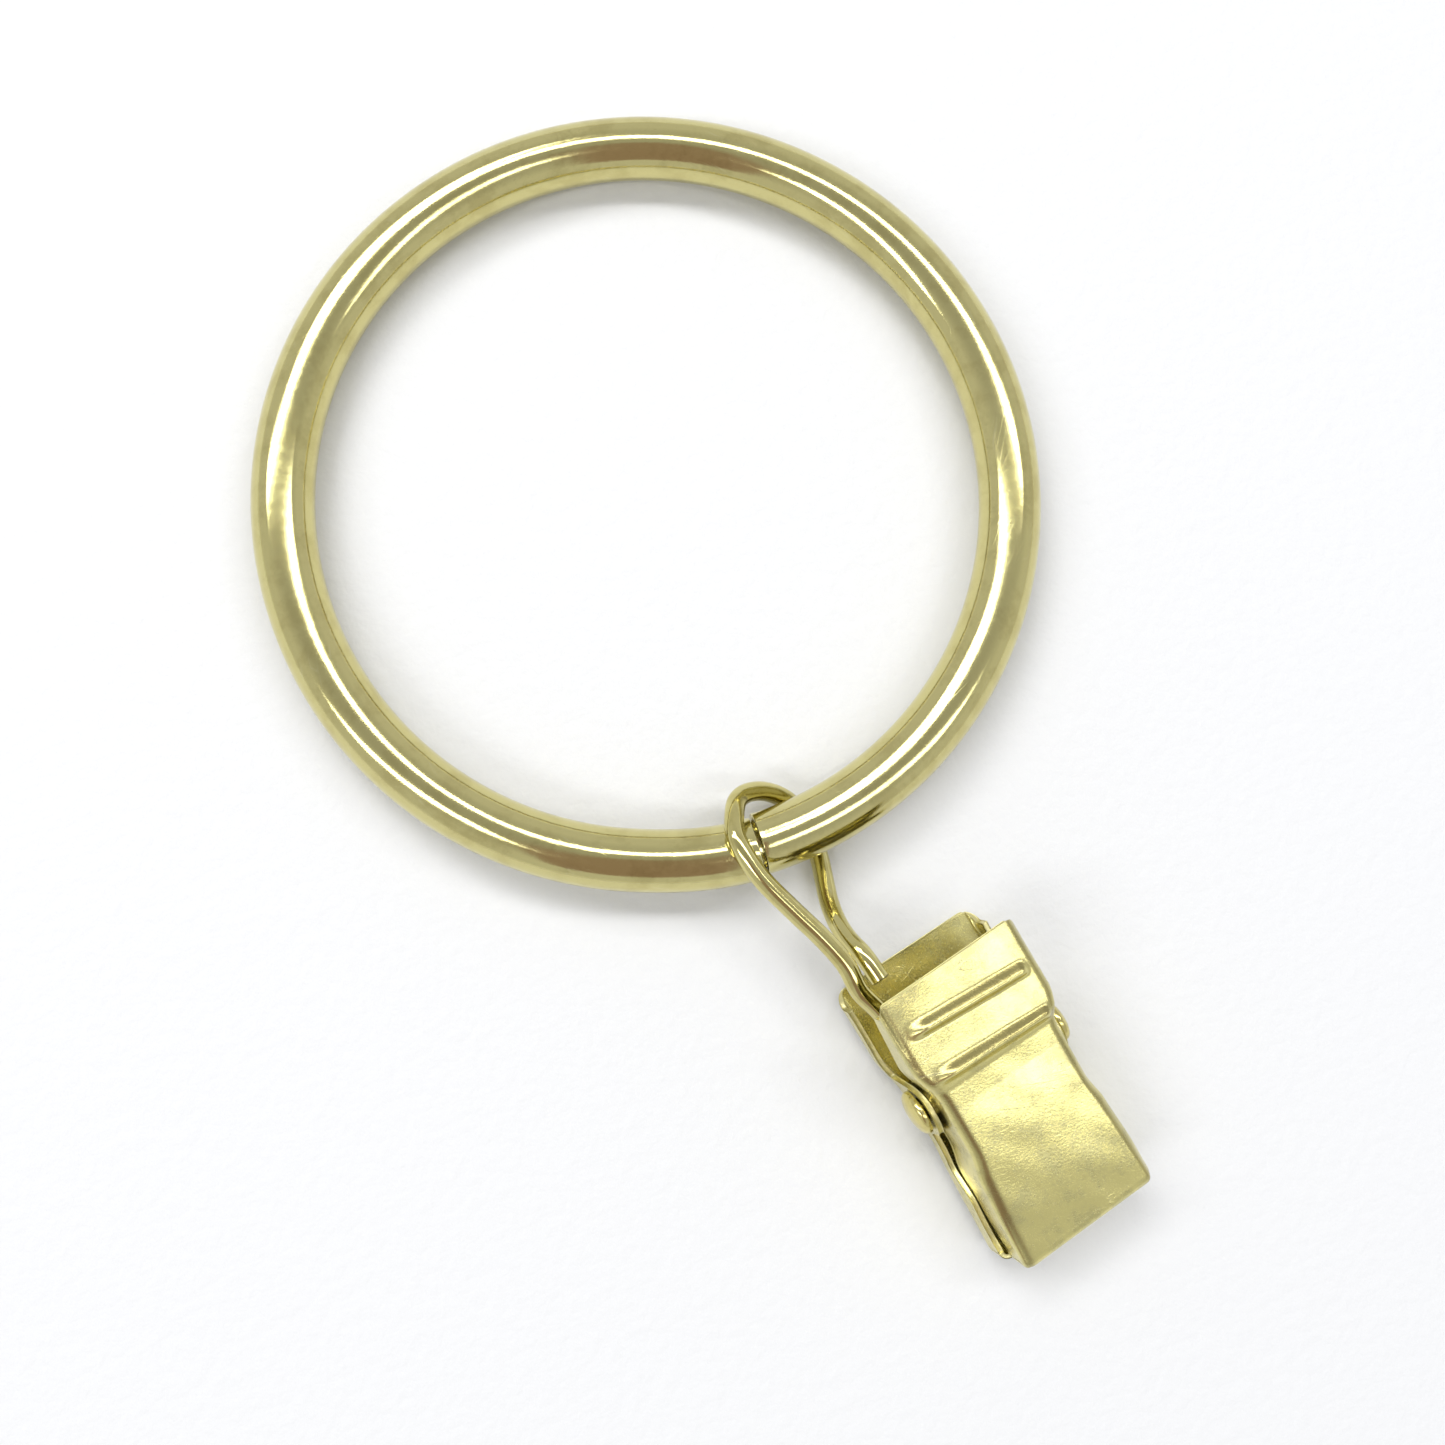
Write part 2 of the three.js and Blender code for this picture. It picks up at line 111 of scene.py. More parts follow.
class NodeKit:
    """Adds nodes to one node tree."""

    def __init__(self, tree: bpy.types.NodeTree) -> None:
        """Starts with an emptied tree.

        Args:
            tree: The node tree of a material or of the world.
        """
        tree.nodes.clear()
        self.tree = tree

    def node(self, kind: str, settings: dict | None = None, inputs: dict | None = None) -> bpy.types.Node:
        """Adds one node.

        Args:
            kind: The node's type.
            settings: The node's own properties, set first; "stops" are a colour ramp's (place, colour) pairs.
            inputs: Sockets by name or number, each given a Number, a socket or a plain value.

        Returns:
            The new node.
        """
        made = self.tree.nodes.new(kind)
        for key, value in (settings or {}).items():
            if key == "stops":
                self._set_stops(made.color_ramp, value)
            else:
                setattr(made, key, value)
        for key, value in (inputs or {}).items():
            source = value.socket if isinstance(value, Number) else value
            if isinstance(source, bpy.types.NodeSocket):
                self.tree.links.new(source, made.inputs[key])
            else:
                made.inputs[key].default_value = source
        return made

    @staticmethod
    def _set_stops(ramp: bpy.types.ColorRamp, stops: list[tuple[float, Colour]]) -> None:
        """Gives a ramp its stops.

        Args:
            ramp: The colour ramp.
            stops: Pairs of a place from 0 to 1 and a colour.
        """
        while len(ramp.elements) < len(stops):
            ramp.elements.new(1.0)
        for element, (place, colour) in zip(ramp.elements, stops):
            element.position = place
            element.color = (*colour, 1.0)

    def math(self, operation: str, *values: Number | float) -> Number:
        """One Math node on up to three values."""
        node = self.node("ShaderNodeMath", {"operation": operation}, dict(enumerate(values)))
        return Number(self, node.outputs[0])

    def step(self, value: Number, low: float, high: float) -> Number:
        """A smooth step: 0 where the value is at low, 1 where it is at high, limited to that range.

        Args:
            value: The number to step on.
            low: Where the step starts.
            high: Where it ends.

        Returns:
            A number from 0 to 1.
        """
        inputs = {"Value": value, "From Min": low, "From Max": high}
        node = self.node("ShaderNodeMapRange", {"interpolation_type": "SMOOTHSTEP"}, inputs)
        return Number(self, node.outputs["Result"])

    def mix(
        self, share: Number, first: Colour | bpy.types.NodeSocket, second: Colour
    ) -> bpy.types.NodeSocket:
        """Goes from one colour to another.

        Args:
            share: 0 gives the first colour and 1 the second.
            first: A colour, or the colour socket of another node.
            second: A colour.

        Returns:
            The mixed colour's socket.
        """
        start = first if isinstance(first, bpy.types.NodeSocket) else (*first, 1.0)
        settings = {"data_type": "RGBA", "clamp_factor": True}
        node = self.node("ShaderNodeMix", settings, {0: share, 6: start, 7: (*second, 1.0)})
        return node.outputs[2]

    def place(self, source: bpy.types.NodeSocket, scale: Triple, turn: float = 0.0) -> bpy.types.NodeSocket:
        """Turns coordinates about z by turn radians and then scales them.

        Args:
            source: The coordinates.
            scale: How much each of them is stretched.
            turn: The turn in radians.

        Returns:
            The new coordinates' socket.
        """
        turned = self.node("ShaderNodeMapping", None, {"Vector": source, "Rotation": (0.0, 0.0, turn)})
        inputs = {"Vector": turned.outputs[0], "Scale": scale}
        return self.node("ShaderNodeMapping", None, inputs).outputs[0]

    def noise(
        self, where: bpy.types.NodeSocket, scale: float, detail: float = 3.0, rough: float = 0.55
    ) -> Number:
        """Cloudy noise, about 0.5 on average.

        Args:
            where: The coordinates.
            scale: Waves in one unit of the coordinates.
            detail: How many finer layers there are.
            rough: How strong each finer layer is.

        Returns:
            The noise as a number.
        """
        inputs = {"Vector": where, "Scale": scale, "Detail": detail, "Roughness": rough}
        return Number(self, self.node("ShaderNodeTexNoise", None, inputs).outputs[0])

    def scratches(self, where: bpy.types.NodeSocket, turn: float, length: float, gap: float) -> Number:
        """Thin scratches that all run nearly one way: lines where a stretched noise crosses its middle.

        Args:
            where: The coordinates, in metres.
            turn: Which way the scratches run, in radians.
            length: Their length in metres.
            gap: The distance between them in metres.

        Returns:
            1 in the scratches and 0 beside them, kept to about a third of the surface.
        """
        stretched = self.place(where, (1.0 / length, 1.0 / gap, 1.0 / length), turn)
        lines = 1.0 - self.step(abs(self.noise(stretched, 1.0, 1.0) - 0.5), 0.0, 0.012)
        patches = self.step(self.noise(where, 1.0 / length, 1.0), 0.52, 0.62)
        return lines * patches

    def surface(self, kind: str, inputs: dict) -> None:
        """Adds the shader of that type with those inputs and makes it the material's surface."""
        shader = self.node(kind, None, inputs)
        self.node("ShaderNodeOutputMaterial", None, {"Surface": shader.outputs[0]})


def blank_material(name: str) -> tuple[bpy.types.Material, NodeKit]:
    """Args:
        name: The material's name.
    """
    made = bpy.data.materials.new(name)
    made.use_nodes = True
    return made, NodeKit(made.node_tree)


# ---- Finishes ---------------------------------------------------------------------------------------------


class Lay(Enum):
    """Which way the fine lines of a finish run."""

    ALONG = 0.0
    ACROSS = math.pi / 2


@dataclass(frozen=True)
class Plating:
    """Brass plating over steel: a tone, cloudy dull patches, grain, drawn lines, scratches, painted
    highlights on cut edges and painted shade in folds.

    Lengths are millimetres and colours are linear. A range is the part of a noise over which a patch sets in.
    """

    name: str
    colour: Colour
    dull: Colour
    roughness: float
    spread: float
    grain: float
    grain_depth: float
    blotch: float
    drawn_depth: float
    lay: Lay = Lay.ALONG
    # Painted highlight: the colour that cut edges are lightened towards; scratches take it too.
    bright: Colour = (0.86, 0.83, 0.62)
    # Painted shade: the colour that folds and the beads' long flanks are darkened towards.
    fold_shade_colour: Colour = (0.27, 0.225, 0.085)
    fold_shade_share: float = 0.6
    wave: float = 3.0
    wave_depth: float = 0.0
    dull_range: Span = (0.44, 0.66)
    dull_share: float = 0.6
    speck_size: float = 1.6
    speck_range: Span = (0.6, 0.75)
    speck_share: float = 0.3
    drawn_waves: Triple = (250.0, 9000.0, 1.0)
    scratch_turn: float = 0.35
    scratch_length: float = 6.0
    scratch_gap: float = 0.8
    scratch_share: float = 0.12
    scratch_depth: float = 0.4
    edge_highlight_share: float = 0.15
    edge_roughness: float = 0.12

    def material(self) -> bpy.types.Material:
        """Builds the finish.

        Returns:
            A metal whose colour, roughness and normal vary, all at the scale of the real plating.
        """
        made, kit = blank_material(self.name)
        point = kit.node("ShaderNodeTexCoord").outputs["Object"]
        flat = kit.node("ShaderNodeUVMap", {"uv_map": "unrolled"}).outputs[0]
        edge, fold = (
            Number(kit, kit.node("ShaderNodeAttribute", {"attribute_name": name}).outputs["Fac"])
            for name in ("edge", "fold")
        )

        clouds = kit.noise(point, 1.0 / (self.blotch * MM), 5.0, 0.62)
        dullness = kit.step(clouds, *self.dull_range)
        specks = kit.step(kit.noise(point, 1.0 / (self.speck_size * self.grain * MM), 2.0), *self.speck_range)
        grain = kit.noise(point, 1.0 / (self.grain * MM), 3.0, 0.6)
        lines = kit.noise(kit.place(flat, self.drawn_waves, self.lay.value), 1.0, 2.0)
        marks = kit.scratches(flat, self.scratch_turn, self.scratch_length * MM, self.scratch_gap * MM)

        tone = kit.mix(dullness * self.dull_share + specks * self.speck_share, self.colour, self.dull)
        # Painted shade: the tone darkens along the folds and on the beads' long flanks.
        tone = kit.mix(fold * self.fold_shade_share, tone, self.fold_shade_colour)
        # Painted highlight on cut edges; the scratches are lightened to the same colour.
        tone = kit.mix(edge * self.edge_highlight_share + marks * self.scratch_share, tone, self.bright)
        varied = (clouds - 0.5) * (2.0 * self.spread) + (grain - 0.5) * self.spread
        rough = varied + specks * (0.5 * self.spread) + edge * self.edge_roughness + self.roughness

        scratched = marks * (self.scratch_depth * self.grain_depth)
        height = grain * self.grain_depth + lines * self.drawn_depth - scratched
        if self.wave_depth > 0.0:
            height = height + kit.noise(point, 1.0 / (self.wave * MM), 1.0) * self.wave_depth
        bump = kit.node("ShaderNodeBump", None, {"Height": height, "Distance": MM, "Strength": 1.0})
        inputs = {"Base Color": tone, "Metallic": 1.0, "Roughness": rough, "Normal": bump.outputs[0]}
        kit.surface("ShaderNodeBsdfPrincipled", inputs)
        return made


# ---- Surfaces ---------------------------------------------------------------------------------------------


def smooth(values: np.ndarray, low: float, high: float) -> np.ndarray:
    """A smooth step from 0 at low to 1 at high: s squared times (3 - 2 s)."""
    share = np.clip((values - low) / (high - low), 0.0, 1.0)
    return share * share * (3.0 - 2.0 * share)


def lerp(start: np.ndarray | float, end: np.ndarray | float, share: np.ndarray | float) -> np.ndarray | float:
    """The value that lies share of the way from start to end."""
    return start + (end - start) * share


def unit(vectors: np.ndarray) -> np.ndarray:
    """The same directions with length 1."""
    return vectors / np.linalg.norm(vectors, axis=-1, keepdims=True)


def edge_round(steps: int) -> tuple[np.ndarray, np.ndarray]:
    """Half of a squared-off ellipse, for a rounded cut edge.

    Args:
        steps: How many stretches the half has.

    Returns:
        How far across the thickness each point is, from 1 to -1, and how far it stands out, from 0 to 1 to 0:
        x = cos(a) ** 0.6 and y = sin(a) ** 0.6, each with its sign, for a from 0 to half a turn.
    """
    angle = np.linspace(0.0, math.pi, steps + 1)
    across = np.sign(np.cos(angle)) * np.abs(np.cos(angle)) ** 0.6
    out = np.abs(np.sin(angle)) ** 0.6
    out[[0, -1]] = 0.0
    return across, out


def add_object(name: str, data: bpy.types.ID) -> bpy.types.Object:
    """Puts a new object with that mesh, lamp or camera in the scene.

    Args:
        name: The object's name.
        data: Its mesh, lamp or camera.

    Returns:
        The object, at the origin.
    """
    made = bpy.data.objects.new(name, data)
    bpy.context.scene.collection.objects.link(made)
    return made


@dataclass
class Patchwork:
    """Points, faces, unrolled coordinates, and the shares of painted edge highlight and painted fold shade,
    that together make one mesh.
    """

    points: list[np.ndarray] = field(default_factory=list)
    quads: list[np.ndarray] = field(default_factory=list)
    corners: list[np.ndarray] = field(default_factory=list)
    edges: list[np.ndarray] = field(default_factory=list)
    fold_shades: list[np.ndarray] = field(default_factory=list)
    caps: list[np.ndarray] = field(default_factory=list)

    def add_points(
        self, points: np.ndarray, edge: np.ndarray | float = 0.0, fold: np.ndarray | float = 0.0
    ) -> np.ndarray:
        """Adds a grid of points.

        Args:
            points: The grid, rows by columns by 3.
            edge: How much each point belongs to a cut edge, from 0 to 1.
            fold: How much painted shade each point gets at a sharp fold or on a bead's flank, from 0 to 1.

        Returns:
            The points' numbers, rows by columns.
        """
        start = sum(len(block) for block in self.points)
        shape = points.shape[:-1]
        self.points.append(points.reshape(-1, 3))
        self.edges.append(np.broadcast_to(edge, shape).ravel())
        self.fold_shades.append(np.broadcast_to(fold, shape).ravel())
        return start + np.arange(shape[0] * shape[1]).reshape(shape)

    def add_faces(self, numbers: np.ndarray, unrolled: np.ndarray) -> None:
        """Joins neighbouring points of a grid with quads.

        Args:
            numbers: The points' numbers; a row or column repeated at the end closes the grid round.
            unrolled: Each point's flat coordinates, the grid's shape by 2.
        """
        around = [(slice(None, -1), slice(None, -1)), (slice(1, None), slice(None, -1))]
        around += [(slice(1, None), slice(1, None)), (slice(None, -1), slice(1, None))]
        self.quads.append(np.stack([numbers[a] for a in around], -1).reshape(-1, 4))
        self.corners.append(np.stack([unrolled[a] for a in around], -2).reshape(-1, 2))

    def add_loop_grid(self, points: np.ndarray, closed_rows: bool, edge: np.ndarray | float = 0.0) -> None:
        """Adds a grid whose columns close round, and whose rows either close too or end in caps.

        Args:
            points: The grid, rows by columns by 3.
            closed_rows: True if the last row joins the first.
            edge: How much each point belongs to a cut edge.
        """
        numbers = self.add_points(points, edge)
        looped = np.pad(points, ((0, int(closed_rows)), (0, 1), (0, 0)), mode="wrap")
        along = np.linalg.norm(np.diff(looped, axis=0), axis=-1).mean(1)
        across = np.linalg.norm(np.diff(looped, axis=1), axis=-1).max(0)
        rows = np.concatenate([[0.0], np.cumsum(along)])
        columns = np.concatenate([[0.0], np.cumsum(across)])
        unrolled = np.stack(np.meshgrid(rows, columns, indexing="ij"), -1)
        self.add_faces(np.pad(numbers, ((0, int(closed_rows)), (0, 1)), mode="wrap"), unrolled)
        if not closed_rows:
            self.caps += [numbers[0], numbers[-1][::-1]]

    def build(self, name: str, place: Matrix, finish: bpy.types.Material) -> bpy.types.Object:
        """Makes the object.

        Args:
            name: The object's name.
            place: Takes the points from the piece's own axes, in millimetres, to the frame, in metres.
            finish: The material of the whole piece.

        Returns:
            A smooth-shaded mesh object at the origin whose faces look outwards.
        """
        matrix = np.array(place)
        points = np.concatenate(self.points) @ matrix[:3, :3].T + matrix[:3, 3]
        quads = np.concatenate(self.quads)
        corners = np.concatenate(self.corners).reshape(-1, 4, 2) * MM
        middle = points.mean(0)
        a, b, c, d = (points[quads[:, k]] - middle for k in range(4))
        volume = np.einsum("ij,ij->", a, np.cross(b, c)) + np.einsum("ij,ij->", a, np.cross(c, d))
        step = 1 if volume > 0.0 else -1
        faces = quads[:, ::step].tolist() + [cap[::step].tolist() for cap in self.caps]
        mesh = bpy.data.meshes.new(name)
        mesh.from_pydata(points, [], faces)
        capping = np.zeros((sum(len(cap) for cap in self.caps), 2))
        unrolled = np.concatenate([corners[:, ::step].reshape(-1, 2), capping])
        mesh.uv_layers.new(name="unrolled").data.foreach_set("uv", unrolled.astype(np.float32).ravel())
        # The fold attribute carries painted shade; the edge attribute carries a painted highlight and extra
        # roughness.
        for key, shares in (("edge", self.edges), ("fold", self.fold_shades)):
            values = np.concatenate(shares).astype(np.float32)
            mesh.attributes.new(key, "FLOAT", "POINT").data.foreach_set("value", values)
        mesh.shade_smooth()
        mesh.materials.append(finish)
        log.info("%s: %d points, %d faces", name, len(points), len(faces))
        return add_object(name, mesh)


def spline(points: np.ndarray, steps: int) -> np.ndarray:
    """A smooth line through points.

    Each stretch is a cubic whose end slopes come from the neighbouring points, with the knots set apart by
    the square root of the distance between the points. The line is then spaced evenly.

    Args:
        points: The points to pass through, n by 3.
        steps: How many even stretches the result has.

    Returns:
        The line's points, steps + 1 by 3.
    """
    ends = np.concatenate([[2 * points[0] - points[1]], points, [2 * points[-1] - points[-2]]])
    knots = np.sqrt(np.linalg.norm(np.diff(ends, axis=0), axis=-1))[:, None]
    before, here, after = knots[:-2], knots[1:-1], knots[2:]
    p0, p1, p2, p3 = ends[:-3], ends[1:-2], ends[2:-1], ends[3:]
    slope1 = here * ((p1 - p0) / before - (p2 - p0) / (before + here) + (p2 - p1) / here)
    slope2 = here * ((p2 - p1) / here - (p3 - p1) / (here + after) + (p3 - p2) / after)
    share = np.linspace(0.0, 1.0, 60, endpoint=False)[None, :, None]
    span = (p2 - p1)[:, None]
    a, b, start = slope1[:, None], slope2[:, None], p1[:, None]
    bend = (a + b - 2 * span) * share**3 + (3 * span - 2 * a - b) * share**2 + a * share + start
    line = np.concatenate([bend.reshape(-1, 3), points[-1:]])
    return spaced(line, steps)


def spaced(line: np.ndarray, steps: int) -> np.ndarray:
    """The same line with its points an even distance apart.

    Args:
        line: The line's points, n by 3.
        steps: How many stretches the result has.

    Returns:
        Its points, steps + 1 by 3.
    """
    length = np.concatenate([[0.0], np.cumsum(np.linalg.norm(np.diff(line, axis=0), axis=-1))])
    even = np.linspace(0.0, length[-1], steps + 1)
    return np.stack([np.interp(even, length, line[:, k]) for k in range(3)], -1)


def soften(line: np.ndarray, width: int) -> np.ndarray:
    """Evens out a line's bends by averaging each point with its neighbours, with both ends kept.

    Args:
        line: The line's points.
        width: How many neighbours on each side take part.

    Returns:
        As many points as before.
    """
    weights = np.hanning(2 * width + 3)[1:-1]
    weights /= weights.sum()
    padded = np.concatenate([2 * line[0] - line[width:0:-1], line, 2 * line[-1] - line[-2 : -width - 2 : -1]])
    return np.stack([np.convolve(padded[:, k], weights, "valid") for k in range(line.shape[1])], -1)


def round_wire(line: np.ndarray, radius: float, reference: np.ndarray, sides: int, cut: float) -> Patchwork:
    """A round wire along a line, its two ends cut square with slightly rounded rims.

    Each ring of points is line + r (cos(a) side + sin(a) up), where side is square to the line and to the
    reference direction, and up is square to both.

    Args:
        line: The middle of the wire, n by 3.
        radius: The wire's radius.
        reference: A direction that the wire never runs along.
        sides: How many points go round.
        cut: How far the rounded rim reaches in from each end.

    Returns:
        The wire's surface.
    """
    tangent = unit(np.gradient(line, axis=0))
    angle = np.linspace(0.0, math.pi / 2, 5)[:-1]
    inner = [radius - cut * (1 - np.cos(angle[::-1])), radius - cut * (1 - np.cos(angle))]
    out = [-cut * np.sin(angle[::-1]), cut * np.sin(angle)]
    trimmed = line.copy()
    trimmed[0] += tangent[0] * cut
    trimmed[-1] -= tangent[-1] * cut
    near = trimmed[:1] + np.outer(out[0], tangent[0])
    far = trimmed[-1:] + np.outer(out[1], tangent[-1])
    middle = np.concatenate([near, trimmed[1:-1], far])
    rings = len(angle)
    direction = np.concatenate(
        [np.repeat(tangent[:1], rings, 0), tangent[1:-1], np.repeat(tangent[-1:], rings, 0)]
    )
    radii = np.concatenate([inner[0], np.full(len(line) - 2, radius), inner[1]])
    side = unit(np.cross(reference, direction))
    up = np.cross(direction, side)
    turn = np.linspace(0.0, 2 * math.pi, sides, endpoint=False)[None, :, None]
    spread = np.cos(turn) * side[:, None] + np.sin(turn) * up[:, None]
    made = Patchwork()
    # The rounded wire ends get the finish's painted edge highlight.
    edge = np.where(radii < radius, 1.0, 0.0)[:, None]
    made.add_loop_grid(middle[:, None] + radii[:, None, None] * spread, False, edge)
    return made


def turned(profile: np.ndarray, sides: int) -> Patchwork:
    """A lathe-turned piece about the x axis.

    Args:
        profile: Pairs of a place along x and a radius, from one end to the other.
        sides: How many points go round.

    Returns:
        The surface (x, r cos(a), r sin(a)), with its two small ends capped.
    """
    turn = np.linspace(0.0, 2 * math.pi, sides, endpoint=False)
    x = np.broadcast_to(profile[:, :1], (len(profile), sides))
    points = np.stack([x, profile[:, 1:] * np.cos(turn), profile[:, 1:] * np.sin(turn)], -1)
    made = Patchwork()
    made.add_loop_grid(points, False)
    return made


# ---- Where things are -------------------------------------------------------------------------------------


def joint(name: str) -> dict:
    """The frame's joint of that name."""
    return next(j for j in frame["joints"] if j["name"] == name)


def place_at(x_axis: np.ndarray, y_axis: np.ndarray, origin: np.ndarray) -> Matrix:
    """The matrix from a piece's own axes, in millimetres, to the frame, in metres.

    Args:
        x_axis: The piece's x direction in the frame.
        y_axis: The piece's y direction in the frame.
        origin: The piece's origin in the frame, in metres.

    Returns:
        A 4 by 4 matrix that also scales from millimetres to metres.
    """
    axes = np.stack([x_axis, y_axis, np.cross(x_axis, y_axis)], -1) * MM
    return Matrix([[*row, place] for row, place in zip(axes.tolist(), np.asarray(origin, float))])


def show(piece: bpy.types.Object, body: str, node: str | None = None) -> None:
    """Hands a finished piece to the frame.

    Args:
        piece: The piece.
        body: The body that it moves with.
        node: The CAD node that it stands for, if it stands for one.
    """
    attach(piece, body)
    if node:
        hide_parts(node)


# ---- Ring -------------------------------------------------------------------------------------------------


@dataclass
class RolledRing:
    """The ring: thin tube rolled round until its two cut ends meet."""

    outer_diameter: float = 60.3
    tube_diameter: float = 4.76
    wall: float = 0.5
    seam_gap: float = 0.3
    seam_angle: float = math.radians(-93.9)
    seam_lean: float = 0.24
    end_step: float = 0.25
    rim: float = 0.1
    lean_run: float = 0.05
    step_run: float = 0.35
    steps: int = 420
    sides: int = 72

    @property
    def tube_radius(self) -> float:
        """Half the tube's diameter."""
        return self.tube_diameter / 2

    @property
    def centre_radius(self) -> float:
        """From the ring's middle to the middle of its tube."""
        return self.outer_diameter / 2 - self.tube_radius

    def place(self) -> Matrix:
        """The ring's axes in the frame, from the joint that the eye turns on."""
        axis = np.array(joint("eye_travel")["axis"], float)
        return place_at(X_AXIS, np.cross(axis, X_AXIS), np.array(joint("eye_travel")["pos_m"]))

    def surface(self) -> Patchwork:
        """The tube inside and out.

        The rows follow a closed line in angle t and tube radius r: along the outside, over the far rim, back
        along the inside and over the near rim. With d = C + r cos a, a point is (d cos t, d sin t, r sin a).
        At the seam the two ends lean together below, and the last one stands out a little from the first.

        Returns:
            The ring's closed surface.
        """
        half_gap = self.seam_gap / 2 / self.centre_radius
        rim = self.rim / self.centre_radius
        first = self.seam_angle + half_gap + rim
        last = self.seam_angle + 2 * math.pi - half_gap - rim
        across, out = edge_round(10)
        rim_radius = self.tube_radius - self.wall * (1 - across[1:-1]) / 2
        forward = np.linspace(first, last, self.steps)
        back = np.linspace(last, first, self.steps // 4)
        angle = np.concatenate([forward, last + rim * out[1:-1], back, first - rim * out[1:-1]])
        inside = np.full(len(back), self.tube_radius - self.wall)
        outside = np.full(len(forward), self.tube_radius)
        radius = np.concatenate([outside, rim_radius, inside, rim_radius[::-1]])
        # The seam's rims get the finish's painted edge highlight.
        edge = np.concatenate([0 * forward, 0 * rim_radius + 1, 0 * back, 0 * rim_radius + 1])[:, None]
        turn = np.linspace(0.0, 2 * math.pi, self.sides, endpoint=False)
        at_end = [smooth(angle, last - self.lean_run, last), smooth(angle, first + self.lean_run, first)]
        lean = self.seam_lean / 2 / self.centre_radius * (0.5 - 0.5 * np.sin(turn))
        around = angle[:, None] + lean * (at_end[0] - at_end[1])[:, None]
        step = self.end_step * smooth(angle, last - self.step_run, last)[:, None]
        distance = self.centre_radius + step + radius[:, None] * np.cos(turn)
        height = radius[:, None] * np.sin(turn)
        points = np.stack([distance * np.cos(around), distance * np.sin(around), height], -1)
        made = Patchwork()
        made.add_loop_grid(points, True, edge)
        return made

    def build(self, finish: Plating) -> None:
        """Makes the ring and lets it stand for its CAD node."""
        ring = self.surface().build("rolled_ring", self.place(), finish.material())
        show(ring, "ring", "ring")


# ---- Clip -------------------------------------------------------------------------------------------------


@dataclass
class Pivot:
    """The pin through the four ears, with a domed head on each end."""

    diameter: float = 1.8
    head_diameter: float = 3.5
    head_height: float = 0.95
    head_gap: float = 0.12
    head_corner: float = 0.12
    rim_share: float = 0.28
    fillet: float = 0.1
    sides: int = 56
    ear_gap: float = 0.3
    hole_gap: float = 0.1

    @property
    def radius(self) -> float:
        """Half the pin's diameter."""
        return self.diameter / 2

    def surface(self, ear_width: float) -> Patchwork:
        """The pin and both heads.

        A head goes out flat from the shank's fillet, round its rim and over a dome, with a slight flat struck
        on top: height = rim + (head - rim) sin(a) ** 0.9 and radius = head radius cos(a) ** 1.04.

        Args:
            ear_width: The distance over the outer ears.

        Returns:
            The pin's surface.
        """
        head = self.head_diameter / 2
        start = ear_width / 2 + self.head_gap
        rim = self.rim_share * self.head_height
        angle = np.linspace(0.0, math.pi / 2, 22)[:-1]
        corner = np.linspace(0.0, math.pi / 2, 6)
        rising, falling = 1 - np.cos(corner), 1 - np.sin(corner)
        shank = np.linspace(0.0, start - 2 * self.fillet, 8)
        dome = start + rim + (self.head_height - rim) * np.minimum(np.sin(angle) ** 0.9, 0.995)
        x = [shank, start - self.fillet * falling, start + self.head_corner * rising, dome]
        radii = [np.full(len(shank), self.radius), self.radius + self.fillet * rising]
        radii += [head - self.head_corner * falling, head * np.cos(angle) ** 1.04]
        half = np.stack([np.concatenate(x), np.concatenate(radii)], -1)
        whole = np.concatenate([(half * [-1, 1])[::-1], half[1:]])
        return turned(whole, self.sides)


